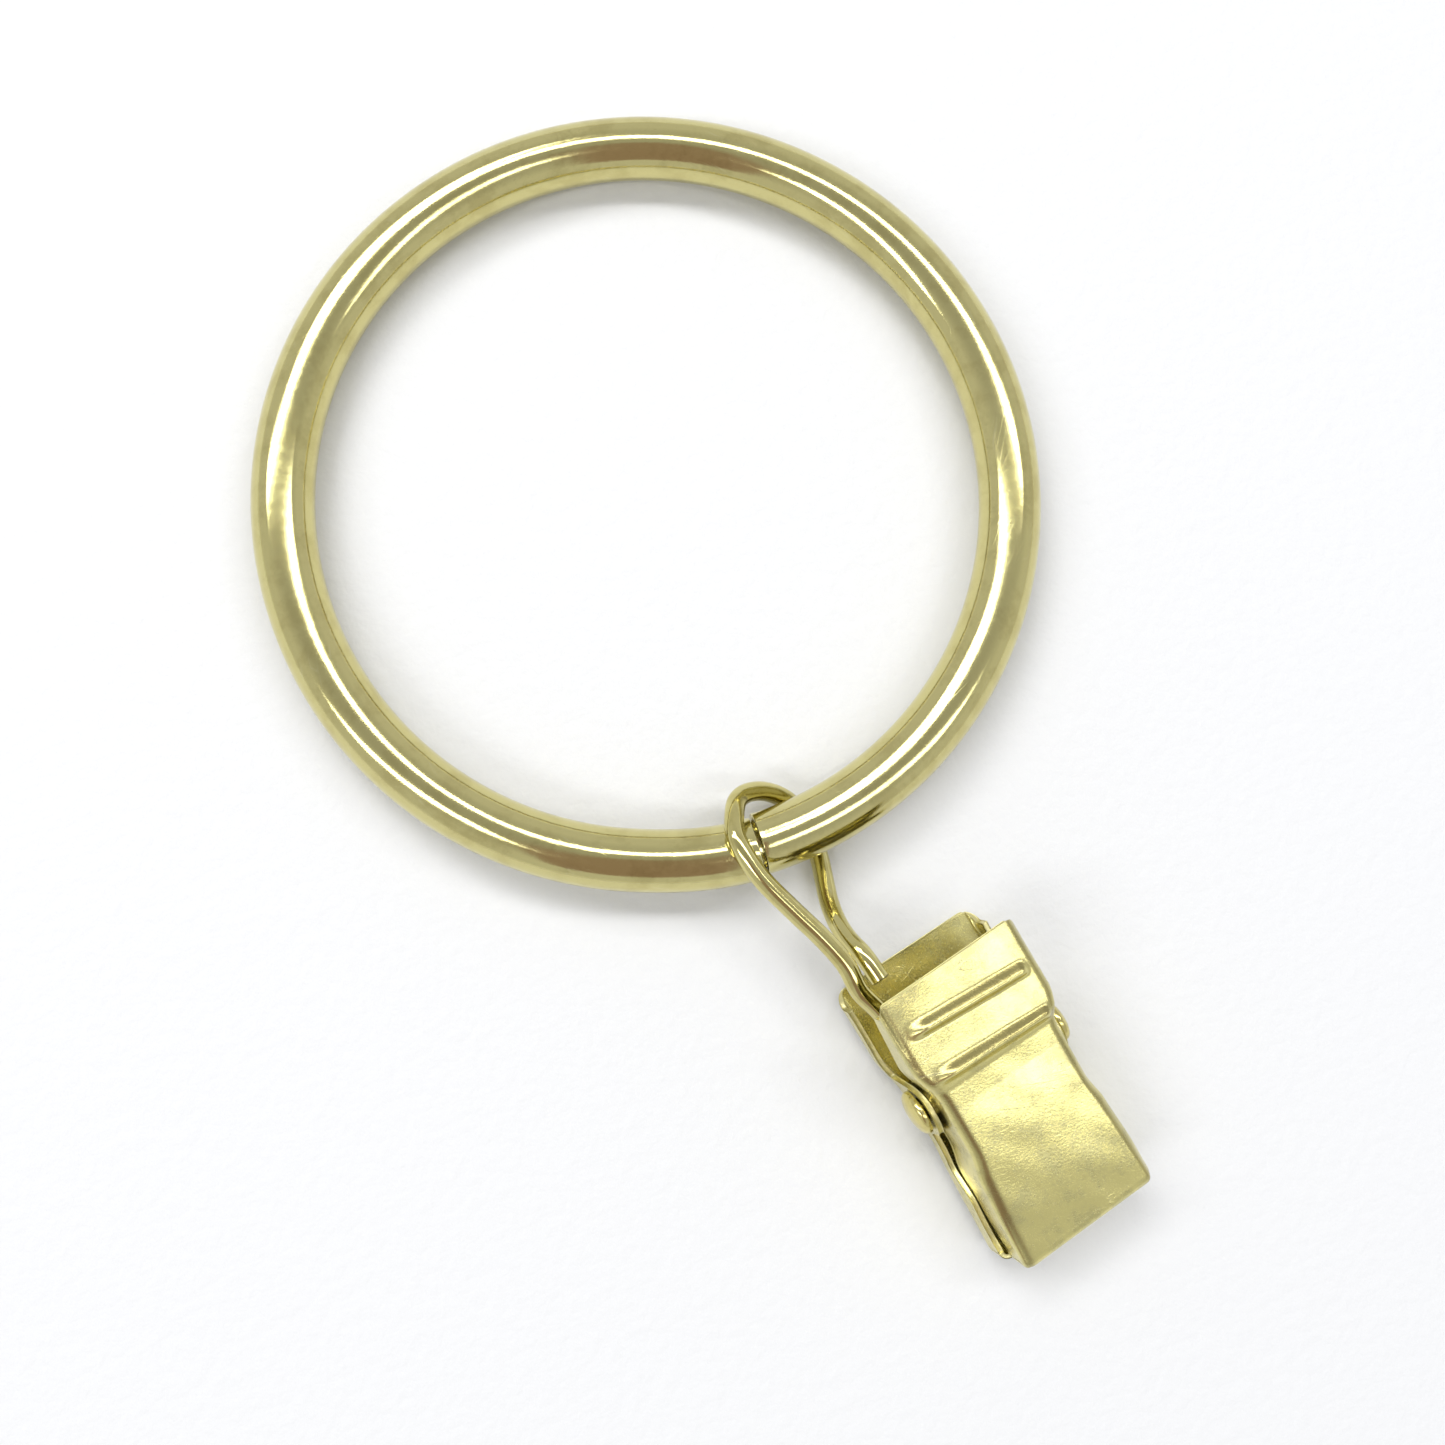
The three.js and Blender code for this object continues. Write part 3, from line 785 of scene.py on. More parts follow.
@dataclass
class Jaw:
    """A jaw pressed from one sheet: a flat face between two flanges with ears, handle at +y, lip at -y.

    The face looks towards +z. An edge is a height of the flanges' free edge, and a run, flare or step is the
    stretch along y over which the shape changes. Crown, bow, twists, splay and dents are what pressing left.
    """

    handle_height: float
    tip_height: float
    handle_width: float
    ear_width: float
    grip_width: float
    tip_width: float
    handle_flange: float
    waist_edge: float
    notch_edge: float
    tip_edge: float
    ear_radius: float
    corner_radius: float
    lip_side: float
    panel_height: float | None = None
    beads: tuple[float, ...] = ()
    sheet: float = 0.4
    fold_radius: float = 0.8
    handle_length: float = 9.7
    grip_length: float = 13.2
    lip_radius: float = 0.9
    lip_corner: float = 0.8
    lip_height: float = 0.3
    lip_gap: float = 0.3
    bead_width: float = 1.5
    bead_height: float = 0.46
    bead_reach: float = 4.5
    bead_run_out: float = 0.7
    rim: float = 0.06
    bottom_gap: float = 0.06
    step: Span = (1.6, 2.8)
    handle_flare: Span = (0.8, 4.2)
    grip_flare: Span = (-5.6, -3.1)
    grip_start: float = -3.3
    ear_run: Span = (-2.0, 2.0)
    grip_run: Span = (-8.2, -5.2)
    lip_run: float = 1.0
    softness: float = 0.25
    slant_starts: Span = (7.6, 9.5)
    bead_slant: float = 0.0
    bead_lean: float = 0.12
    bead_taper: float = 1.2
    # How strongly the beads' long flanks get painted shade, next to the folds.
    bead_flank_shade: float = 1.25
    end_slant: float = 0.0
    crown: float = 0.0
    crown_run: float = 5.0
    bow: float = 0.0
    handle_twist: float = 0.0
    twist_middle: float = 0.4
    grip_twist: float = 0.0
    splay: float = 0.0
    splay_run: Triple = (3.5, 6.0, 9.0)
    face_dents: float = 0.05
    flange_dents: float = 0.04
    dent_lengths: Span = (2.5, 9.0)
    face_depth: float = 0.35
    fold_column: float = 21.0
    fold_spread: float = 2.6
    seed: int = 3
    rows: int = 200
    columns: int = 60
    flange_rows: int = 14
    fold_rows: int = 10
    bend_rows: int = 12
    wall_rows: int = 14

    @property
    def lip_start(self) -> float:
        """How far from the pin the face starts to turn down into the lip."""
        return self.grip_length - self.lip_radius

    def width_at(self, y: np.ndarray) -> np.ndarray:
        """The width over the flanges: the grip that widens to its tip, the narrow ears, then the handle.

        Args:
            y: Where along the jaw.

        Returns:
            The widths.
        """
        handle = lerp(self.ear_width, self.handle_width, smooth(y, *self.handle_flare))
        share = (self.grip_start - y) / (self.grip_start + self.lip_start)
        grip = lerp(self.grip_width, self.tip_width, np.clip(share, 0.0, 1.0))
        return lerp(grip, handle, smooth(y, *self.grip_flare))

    def height_at(self, y: np.ndarray) -> np.ndarray:
        """The height of the face: straight on the back jaw, stepped up to the handle on the front jaw.

        Args:
            y: Where along the jaw.

        Returns:
            The heights.
        """
        if self.panel_height is None:
            share = (y + self.lip_start) / (self.lip_start + self.handle_length)
            return lerp(self.tip_height, self.handle_height, share)
        panel = lerp(self.tip_height, self.panel_height, (y + self.lip_start) / self.lip_start)
        return lerp(panel, self.handle_height, smooth(y, *self.step))

    def edge_at(self, y: np.ndarray) -> np.ndarray:
        """The height of the flanges' free edge from lip to handle, with the round ear reaching below it.

        Args:
            y: Where along the jaw.

        Returns:
            The heights.
        """
        notch, waist = self.ear_run
        handle_edge = self.handle_height - self.handle_flange
        low = self.lip_gap / 2 + self.lip_side * self.lip_height
        inner = lerp(self.notch_edge, self.waist_edge, smooth(y, notch, waist))
        handle = lerp(self.waist_edge, handle_edge, (y - waist) / (self.handle_length - waist))
        grip = lerp(self.tip_edge, self.notch_edge, smooth(y, *self.grip_run))
        lip = lerp(low, grip, smooth(y, -self.lip_start, self.lip_run - self.lip_start))
        straight = np.where(y > waist, handle, np.where(y > notch, inner, lip))
        ear = np.sqrt(np.maximum(self.ear_radius**2 - y**2, 0.0))
        return np.where(ear > 0, np.minimum(straight, -ear), straight)

    def soft_edge_at(self, y: np.ndarray) -> np.ndarray:
        """The free edge averaged over a short stretch each way, as pressing softens its corners.

        Args:
            y: Where along the jaw.

        Returns:
            The heights.
        """
        shifts = np.linspace(-self.softness, self.softness, 9)
        weights = np.hanning(11)[1:-1]
        near = np.clip(y[:, None] + shifts, -self.lip_start, self.handle_length)
        return (self.edge_at(near) * weights).sum(-1) / weights.sum()

    def bead_at(self, x: np.ndarray, y: np.ndarray) -> np.ndarray:
        """How far the beads raise the face: a ridge at each place, long towards the handle and steep behind.

        The ridge is (1 + cos(pi d / w)) / 2, where d is the distance from its crest and w its width on that
        side. It tapers to a point at the left end and runs out more bluntly at the right.

        Args:
            x: Where the points lie across the jaw.
            y: Where they lie along it.

        Returns:
            The beads' height at each point.
        """
        taper = smooth(x, -self.bead_reach - self.bead_run_out, -self.bead_reach + self.bead_taper)
        across = taper * (1.0 - smooth(x, self.bead_reach, self.bead_reach + self.bead_run_out))
        crest = self.bead_lean * self.bead_width
        ridge = np.zeros_like(x)
        for place in self.beads:
            offset = y - place + crest
            width = np.where(offset > 0.0, self.bead_width / 2 + crest, self.bead_width / 2 - crest)
            ridge = np.maximum(ridge, 0.5 + 0.5 * np.cos(math.pi * np.clip(offset / width, -1.0, 1.0)))
        return self.bead_height * across * ridge

    def dents_at(self, x: np.ndarray, y: np.ndarray, depth: float) -> np.ndarray:
        """Slight unevenness from pressing: the mean of twelve waves with random directions and lengths.

        Args:
            x: One coordinate on the surface.
            y: The other one.
            depth: How high a single wave is.

        Returns:
            How far each point stands out.
        """
        chance = np.random.default_rng(self.seed)
        turn, phase = chance.uniform(0, 2 * math.pi, (2, 12))
        length = chance.uniform(*self.dent_lengths, 12)
        across = x[..., None] * np.cos(turn) + y[..., None] * np.sin(turn)
        return depth * np.sin(2 * math.pi * across / length + phase).mean(-1)

    def rows_along(self, inset: float) -> tuple[np.ndarray, np.ndarray, np.ndarray]:
        """Where the rows of one side of the sheet lie, from the handle's end to the lip's free edge.

        The rows run straight to the lip, then round its radius r, sinking r (1 - cos(a)), then straight down.

        Args:
            inset: 0 for the outside, and the sheet's thickness for the inside.

        Returns:
            Each row's place along y, how far it sinks, and how far it is turned down, from 0 to 1.
        """
        bend, wall = self.bend_rows, self.wall_rows
        radius = self.lip_radius - inset
        edge = self.soft_edge_at(np.array([-self.lip_start]))[0]
        lowest = self.tip_height - inset - edge - self.bottom_gap * (self.tip_height - edge)
        angle = np.linspace(0.0, math.pi / 2, bend + 1)[1:]
        flat = np.linspace(self.handle_length - self.rim, -self.lip_start, self.rows)
        end = -self.lip_start - radius
        y = np.concatenate([flat, -self.lip_start - radius * np.sin(angle), np.full(wall, end)])
        down = np.linspace(radius, lowest, wall + 1)[1:]
        drop = np.concatenate([np.zeros(self.rows), radius * (1 - np.cos(angle)), down])
        turned_down = np.concatenate([np.zeros(self.rows), np.linspace(0, 1, bend + 1)[1:], np.ones(wall)])
        return y, drop[:, None], turned_down[:, None]

    def rows_across(self, half: np.ndarray, edge: np.ndarray, height: np.ndarray, inset: float) -> np.ndarray:
        """The cross-sections of one side of the sheet: up one flange, round the fold, over the face and down.

        Args:
            half: Half the width of each row.
            edge: The height of its flanges' free edge.
            height: The height of its face.
            inset: How far this side lies inside the outside.

        Returns:
            The points' x and z, rows by columns by 2.
        """
        flange = np.linspace(0.0, 1.0, self.flange_rows + 1)[:-1] ** 0.8
        fold = np.linspace(0.0, math.pi / 2, self.fold_rows + 1)
        web = np.linspace(1.0, -1.0, self.columns + 1)[1:-1]
        bend_x = half - self.fold_radius + (self.fold_radius - inset) * np.cos(fold)
        bend_z = height - self.fold_radius + (self.fold_radius - inset) * np.sin(fold)
        flange_z = lerp(edge + self.rim, height - self.fold_radius, flange)
        flange_x = np.repeat(half - inset, len(flange), 1)
        web_x = -(half - self.fold_radius) * web
        x = np.concatenate([-flange_x, -bend_x, web_x, bend_x[:, ::-1], flange_x[:, ::-1]], 1)
        middle = np.repeat(height - inset, len(web), 1)
        z = np.concatenate([flange_z, bend_z, middle, bend_z[:, ::-1], flange_z[:, ::-1]], 1)
        return np.stack([x, z], -1)

    def relief_at(self, share: np.ndarray, x: np.ndarray, y: np.ndarray) -> np.ndarray:
        """How far the face stands above its flat shape: beads, crown, twisted handle, bowed and twisted grip.

        Args:
            share: Where each point lies across the width, from -1 to 1.
            x: The same in millimetres.
            y: Where it lies along the jaw.

        Returns:
            The heights.
        """
        down = np.clip(y / self.lip_start, -1, 0) * 2 + 1
        up = np.clip(y - self.step[1], 0, None) / (self.handle_length - self.step[1])
        crown = self.crown * (1 - share**2) * smooth(y, 0.0, self.crown_run)
        grip = self.bow * (1 - down**2) - self.grip_twist * share * (down - 1)
        beads = self.bead_at(x, y + self.bead_slant * x)
        twist = self.handle_twist * (share - self.twist_middle) * up
        return beads + crown + twist + np.where(y < 0, grip, 0.0)

    def face(self, inset: float) -> np.ndarray:
        """One side of the sheet.

        Across, a row follows the cross-section there. Along, the rows go from the handle's end to the lip,
        where the whole row sinks towards the flanges' edge. Corners are rounded and ends slanted by moving
        points along y, and pressing's unevenness is added square to the face and to the flanges.

        Args:
            inset: 0 for the outside, and the sheet's thickness for the inside.

        Returns:
            The points, rows by columns by 3.
        """
        y, drop, turned_down = self.rows_along(inset)
        flat_y = np.maximum(y, -self.lip_start)
        edge, half = self.soft_edge_at(flat_y)[:, None], self.width_at(flat_y)[:, None] / 2
        height = self.height_at(flat_y)[:, None]
        x, z = np.moveaxis(self.rows_across(half, edge, height, inset), -1, 0)
        from_side = np.maximum(half - np.abs(self.rows_across(half, edge, height, 0.0)[..., 0]), 0)
        along = np.repeat(y[:, None], x.shape[1], 1)
        top = height - inset
        on_face = smooth(z - top, -self.face_depth, 0.0)

        at_handle = smooth(along, self.handle_length - 1.5 * self.corner_radius, self.handle_length)
        corners = self.round_corner(from_side, self.lip_corner - inset) * turned_down
        corners = corners - self.round_corner(from_side, self.corner_radius) * at_handle
        near_handle, near_lip = self.slant_starts
        at_ends = smooth(along, near_handle, self.handle_length) + smooth(-along, near_lip, self.lip_start)
        opening, widest, closing = self.splay_run
        bulge = self.splay * smooth(-along, opening, widest) * (1 - smooth(-along, closing, self.lip_start))
        side = np.sign(x)
        apart = max(self.dent_lengths) * side
        sideways = side * (self.dents_at(z + apart, along, self.flange_dents) + bulge) * (1 - on_face)
        dents = self.dents_at(x, along, self.face_dents) * (1 - turned_down)
        upward = (self.relief_at(np.clip(x / half, -1, 1), x, along) + dents) * on_face
        sunk = edge + (z - edge) * (1.0 - drop / (top - edge))
        onward = along + corners + self.end_slant * x * at_ends
        return np.stack([x + sideways * (1 - turned_down), onward, sunk + upward], -1)

    def fold_shade_shares(self, outside: np.ndarray) -> np.ndarray:
        """How much painted shade each point gets, on a fold or on a bead's long flank.

        A fold's share is exp(-(d / w) ** 2), where d counts the columns from the middle of the bend.

        Args:
            outside: The outside of the sheet, rows by columns by 3.

        Returns:
            1 in the middle of each bend, a little more on a bead's flank, falling to 0 beside them.
        """
        place = np.arange(outside.shape[1], dtype=float)
        place = np.minimum(place, place[::-1])
        bends = np.exp(-(((place - self.fold_column) / self.fold_spread) ** 2)) * np.ones((len(outside), 1))
        x, y = outside[..., 0], outside[..., 1] + self.bead_slant * outside[..., 0]
        shift = 0.1
        rise = (self.bead_at(x, y + shift) - self.bead_at(x, y - shift)) / (2 * shift * self.bead_height)
        return np.maximum(bends, self.bead_flank_shade * smooth(-rise, 0.3, 0.9))

    @staticmethod
    def round_corner(from_side: np.ndarray, radius: float) -> np.ndarray:
        """How far a rounded corner falls back at a distance from the side: r - sqrt(r^2 - reach^2)."""
        reach = np.maximum(0.0, radius - from_side)
        return radius - np.sqrt(np.maximum(0.0, radius**2 - reach**2))

    def surface(self) -> Patchwork:
        """The whole sheet: outside, inside and the rounded rim that joins their borders.

        Returns:
            The jaw's closed surface.
        """
        made = Patchwork()
        outside, inside = self.face(0.0), self.face(self.sheet)
        # The sheet's borders and rounded rim get the finish's painted edge highlight.
        away = [0.0 * outside[..., 0], 0.0 * inside[..., 0]]
        for share in away:
            share[[0, -1]] = 1.0
            share[:, [0, -1]] = 1.0
        # Painted shade along the folds and on the beads' long flanks, kept as the fold attribute.
        fold_shades = self.fold_shade_shares(outside)
        numbers = [made.add_points(outside, away[0], fold_shades), made.add_points(inside, away[1])]
        made.add_faces(numbers[0], outside[..., :2])
        made.add_faces(numbers[1][:, ::-1], inside[:, ::-1, :2])
        outer, inner = self.border(outside), self.border(inside)
        middle = (outer + inner) / 2
        onward = np.roll(middle, -1, 0) - np.roll(middle, 1, 0)
        out = unit(self.evened(unit(np.cross(onward, outer - inner))))
        across, bulge = edge_round(8)
        strip = middle[:, None] + across[1:-1, None] * (outer - inner)[:, None] / 2
        strip = strip + self.rim * bulge[1:-1, None] * out[:, None]
        rim_numbers = made.add_points(strip, 1.0)
        borders = [self.border(grid)[:, None] for grid in numbers]
        loop = np.concatenate([borders[0], rim_numbers, borders[1]], 1)
        loop = np.concatenate([loop, loop[:1]])
        flat = np.concatenate([outer[:, None], strip, inner[:, None]], 1)[..., :2]
        made.add_faces(loop[:, ::-1], np.concatenate([flat, flat[:1]])[:, ::-1])
        return made

    @staticmethod
    def evened(loop: np.ndarray) -> np.ndarray:
        """A closed loop of directions, each averaged with its neighbours by 1, 2, 3, 2, 1 parts."""
        parts = zip(range(-2, 3), (1, 2, 3, 2, 1))
        return sum(weight * np.roll(loop, shift, 0) for shift, weight in parts)

    @staticmethod
    def border(grid: np.ndarray) -> np.ndarray:
        """The grid's outline in order: first row, last column, last row backwards, first column backwards."""
        return np.concatenate([grid[0, :-1], grid[:-1, -1], grid[-1, :0:-1], grid[:0:-1, 0]])

    def build(self, name: str, place: Matrix, hole: float, finish: bpy.types.Material) -> bpy.types.Object:
        """Makes the jaw with the holes for the pin.

        Args:
            name: The piece's name.
            place: The jaw's axes in the frame.
            hole: The radius of the holes.
            finish: Its material.

        Returns:
            The drilled jaw.
        """
        blank = self.surface().build(name, place, finish)
        reach = self.handle_width
        drill = turned(np.array([[-reach, hole], [reach, hole]]), 40).build(f"{name}_drill", place, finish)
        cut = blank.modifiers.new("holes", "BOOLEAN")
        cut.object = drill
        cut.operation = "DIFFERENCE"
        cut.solver = "EXACT"
        drilled = bpy.data.meshes.new_from_object(blank.evaluated_get(bpy.context.evaluated_depsgraph_get()))
        blank.modifiers.clear()
        blank.data = drilled
        drilled.name = name
        bpy.data.objects.remove(drill)
        return blank


@dataclass
class TorsionSpring:
    """A coil round the pin whose two straight legs press the handles apart."""

    wire: float = 0.7
    pin_gap: float = 0.25
    turns: float = 4.0
    pitch: float = 0.86
    offset: float = 0.2
    leg_reach: float = 6.2
    leg_gap: float = 0.35
    cut: float = 0.05
    sides: int = 18
    steps: int = 360
    leg_steps: int = 60
    foot: int = 7
    bend: tuple[int, int] = (8, 40)

    def lines(self, pin_radius: float, front: Jaw, back: Jaw) -> tuple[np.ndarray, list[np.ndarray]]:
        """The coil's and the legs' middle lines.

        The coil is (x, r cos(a), r sin(a)) with x growing evenly with a. Each leg leaves it straight on and
        ends under its own jaw.

        Args:
            pin_radius: The radius of the pin.
            front: The front jaw.
            back: The back jaw.

        Returns:
            The coil's line, and the front leg's and the back leg's lines, both starting at the coil.
        """
        radius = pin_radius + self.pin_gap + self.wire / 2
        inset = front.sheet + self.leg_gap + self.wire / 2
        reach = np.array([self.leg_reach])
        heights = [float(front.height_at(reach)[0]) - inset, inset - float(back.height_at(reach)[0])]
        slopes = [math.atan2(abs(height), self.leg_reach) for height in heights]
        touches = [math.acos(radius / math.hypot(height, self.leg_reach)) for height in heights]
        turns = [slope + touch for slope, touch in zip(slopes, touches)]
        sweep = 2 * math.pi * (self.turns + 1) - sum(turns)
        length = self.pitch * sweep / (2 * math.pi)
        share = np.linspace(0.0, 1.0, self.steps)
        angle = turns[0] + sweep * share
        along = self.offset + length * (share - 0.5)
        coil = np.stack([along, radius * np.cos(angle), radius * np.sin(angle)], -1)
        legs = []
        for foot, height in zip((coil[: self.foot][::-1], coil[-self.foot :]), heights):
            end = np.array([foot[-1, 0], self.leg_reach, height])
            straight = lerp(foot[-1], end, np.linspace(0.0, 1.0, 40)[1:, None])
            legs.append(spaced(np.concatenate([foot, straight]), self.leg_steps))
        return coil, legs


@dataclass
class Clip:
    """The two jaws, the pin through their ears and the spring between them."""

    front: Jaw
    back: Jaw
    pivot: Pivot = field(default_factory=Pivot)
    spring: TorsionSpring = field(default_factory=TorsionSpring)
    turn: float = math.radians(10.6)
    lean: float = math.radians(5.0)

    def axes(self) -> np.ndarray:
        """The clip's directions in the frame: turned about z, then pitched about x, then leaning about y.

        Returns:
            A 3 by 3 matrix whose columns are the clip's x, y and z.
        """
        back = self.back
        pitch = math.atan2(back.handle_height - back.tip_height, back.handle_length + back.lip_start)
        about_z = Matrix.Rotation(self.turn, 3, "Z")
        return np.array(about_z @ Matrix.Rotation(pitch, 3, "X") @ Matrix.Rotation(self.lean, 3, "Y"))

    def place(self, flipped: bool = False) -> Matrix:
        """The clip's own axes in the frame, with the pin's middle as origin.

        Args:
            flipped: True for the back jaw, which is turned half round about the clip's length.

        Returns:
            The matrix from millimetres on the clip to metres in the frame.
        """
        axes = self.axes()
        side = -1.0 if flipped else 1.0
        return place_at(side * axes[:, 0], axes[:, 1], np.array(joint("clip_swing")["pos_m"]))

    def build(self, pressed: Plating, pin: Plating, drawn: Plating) -> None:
        """Makes the clip's pieces.

        Args:
            pressed: The finish of the jaws.
            pin: The finish of the pin.
            drawn: The finish of the spring.
        """
        hole = self.pivot.radius + self.pivot.hole_gap
        steel = pressed.material()
        front = self.front.build("pressed_front_jaw", self.place(), hole, steel)
        show(front, "front_jaw", "front_jaw")
        back = self.back.build("pressed_back_jaw", self.place(True), hole, steel)
        show(back, "back_jaw", "back_jaw")
        rivet = self.pivot.surface(self.back.ear_width).build("riveted_pin", self.place(), pin.material())
        show(rivet, "pivot", "pivot_pin")
        self.build_spring(drawn.material())

    def build_spring(self, finish: bpy.types.Material) -> None:
        """Makes the spring: the coil stays with the pin, and each leg runs from there to its own jaw, baked
        in place with no body.

        Args:
            finish: The spring's material.
        """
        coil_line, legs = self.spring.lines(self.pivot.radius, self.front, self.back)
        size = (self.spring.wire / 2, X_AXIS, self.spring.sides, self.spring.cut)
        coil = round_wire(coil_line, *size).build("spring_coil", self.place(), finish)
        show(coil, "pivot", "torsion_spring")
        for side, line in zip(("front", "back"), legs):
            leg = round_wire(line, *size).build(f"spring_{side}_leg", self.place(), finish)
            start, end = (self.place() @ Vector(line[k]) for k in self.spring.bend)
            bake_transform(leg)


# ---- Eye --------------------------------------------------------------------------------------------------


@dataclass
class EyeWire:
    """The wire from its cut end, under the tube, round it, down into the clip and round the pin.

    Loop rows are (across, degrees round the tube from straight below it, extra distance). Leg rows are (share
    of the leg, bow across, bow upwards). Ends are the short leg's end and neck and the long leg's neck, each
    (across from the long leg, beyond the handle's end, up). Inside rows are (share of the way across to the
    hook, beyond the handle's end, up).
    """

    diameter: float = 1.5
    tube_gap: float = 0.12
    pin_gap: float = 0.14
    ear_gap: float = 0.15
    leg_inset: float = 0.3
    hook_start: float = math.radians(-100)
    hook_turn: float = math.radians(250)
    hook_points: int = 9
    cut: float = 0.07
    sides: int = 28
    steps: int = 900
    softening: int = 9
    loop: Rows = (
        (2.55, 0, 0),
        (1.6, 45, 0.05),
        (0.15, 72, 0.55),
        (-1.35, 92, 0.7),
        (-2.25, 106, 0.5),
        (-2.95, 130, 0.12),
        (-3.45, 158, 0),
        (-3.4, 180, 0),
    )
    short_leg: Rows = (
        (0.88, -0.5, -0.2),
        (0.76, -0.75, -0.45),
        (0.6, -0.7, -0.95),
        (0.42, -0.35, -1.1),
        (0.25, -0.05, -0.9),
    )
    long_leg: Rows = ((0.22, -0.38, 0.15), (0.5, -0.22, 0.1), (0.78, 0.05, 0.05))
    ends: Rows = ((1.9, 0.0, -0.35), (1.8, 2.3, -0.8), (0.1, 2.5, 0.35))
    inside: Rows = ((0.0, 0.4, 0.25), (0.35, -1.6, 0.0), (0.8, -5.3, -0.75))

    def line(self, ring: RolledRing, clip: Clip) -> np.ndarray:
        """The wire's middle line in the frame.

        Args:
            ring: The ring that it goes round.
            clip: The clip that it hooks into.

        Returns:
            The line's points in metres.
        """
        radius = self.diameter / 2
        axis = np.array(joint("eye_travel")["axis"], float)
        centre = np.array(joint("eye_travel")["pos_m"]) / MM
        tube = centre + np.array([0.0, 0.0, ring.centre_radius * axis[1]])
        across, turn, extra = np.array(self.loop, float).T
        distance = ring.tube_radius + radius + self.tube_gap + extra
        tube_y = -np.sqrt(ring.centre_radius**2 - across**2)
        angle = np.radians(turn)
        around = np.stack([across, tube_y + distance * np.sin(angle), -distance * np.cos(angle)], -1) + tube

        front, pivot = clip.front, clip.pivot
        matrix = np.array(clip.place()) / MM
        length = front.handle_length
        hook_x = -(front.ear_width / 2 - front.sheet - self.ear_gap - radius)
        leg_x = -(front.handle_width / 2 - front.sheet - self.leg_inset)
        turned_by = self.hook_start - np.linspace(0.0, 1.0, self.hook_points) * self.hook_turn
        hook_radius = pivot.radius + self.pin_gap + radius
        across_pin = np.full(self.hook_points, hook_x)
        hook = np.stack([across_pin, hook_radius * np.cos(turned_by), hook_radius * np.sin(turned_by)], -1)
        legs = np.array(self.ends) + [leg_x, length, 0.0]
        share, beyond, up = np.array(self.inside).T
        inside = np.stack([lerp(leg_x, hook_x, share), length + beyond, up], -1)
        local = np.concatenate([legs, inside, hook])
        placed = local @ matrix[:3, :3].T + matrix[:3, 3]
        short = self.bowed(around[0], placed[1], self.short_leg)
        long = self.bowed(around[-1], placed[2], self.long_leg)
        through = np.concatenate([placed[:2], short, around, long, placed[2:]])
        return soften(spline(through, self.steps), self.softening) * MM

    @staticmethod
    def bowed(start: np.ndarray, end: np.ndarray, bows: Rows) -> np.ndarray:
        """Points from start to end, each moved sideways and up by its bow."""
        share, across, up = np.array(bows, float).T
        return lerp(start, end, share[:, None]) + np.stack([across, 0 * across, up], -1)

    def build(self, ring: RolledRing, clip: Clip, finish: Plating) -> None:
        """Makes the wire and lets it stand for its CAD node.

        Args:
            ring: The ring that it goes round.
            clip: The clip that it hooks into.
            finish: The finish of the wire.
        """
        line = self.line(ring, clip) / MM
        wire = round_wire(line, self.diameter / 2, X_AXIS, self.sides, self.cut)
        piece = wire.build("bent_eye_wire", Matrix.Scale(MM, 4), finish.material())
        show(piece, "eye", "eye_wire")


# ---- Studio -----------------------------------------------------------------------------------------------


@dataclass(frozen=True)
class Panel:
    """A soft light overhead, as seen from the ring: its middle and size for each metre of height.

    Its share is how bright it is next to the others.
    """

    name: str
    right: float
    up: float
    width: float
    depth: float
    turn: float = 0.0
    share: float = 1.0


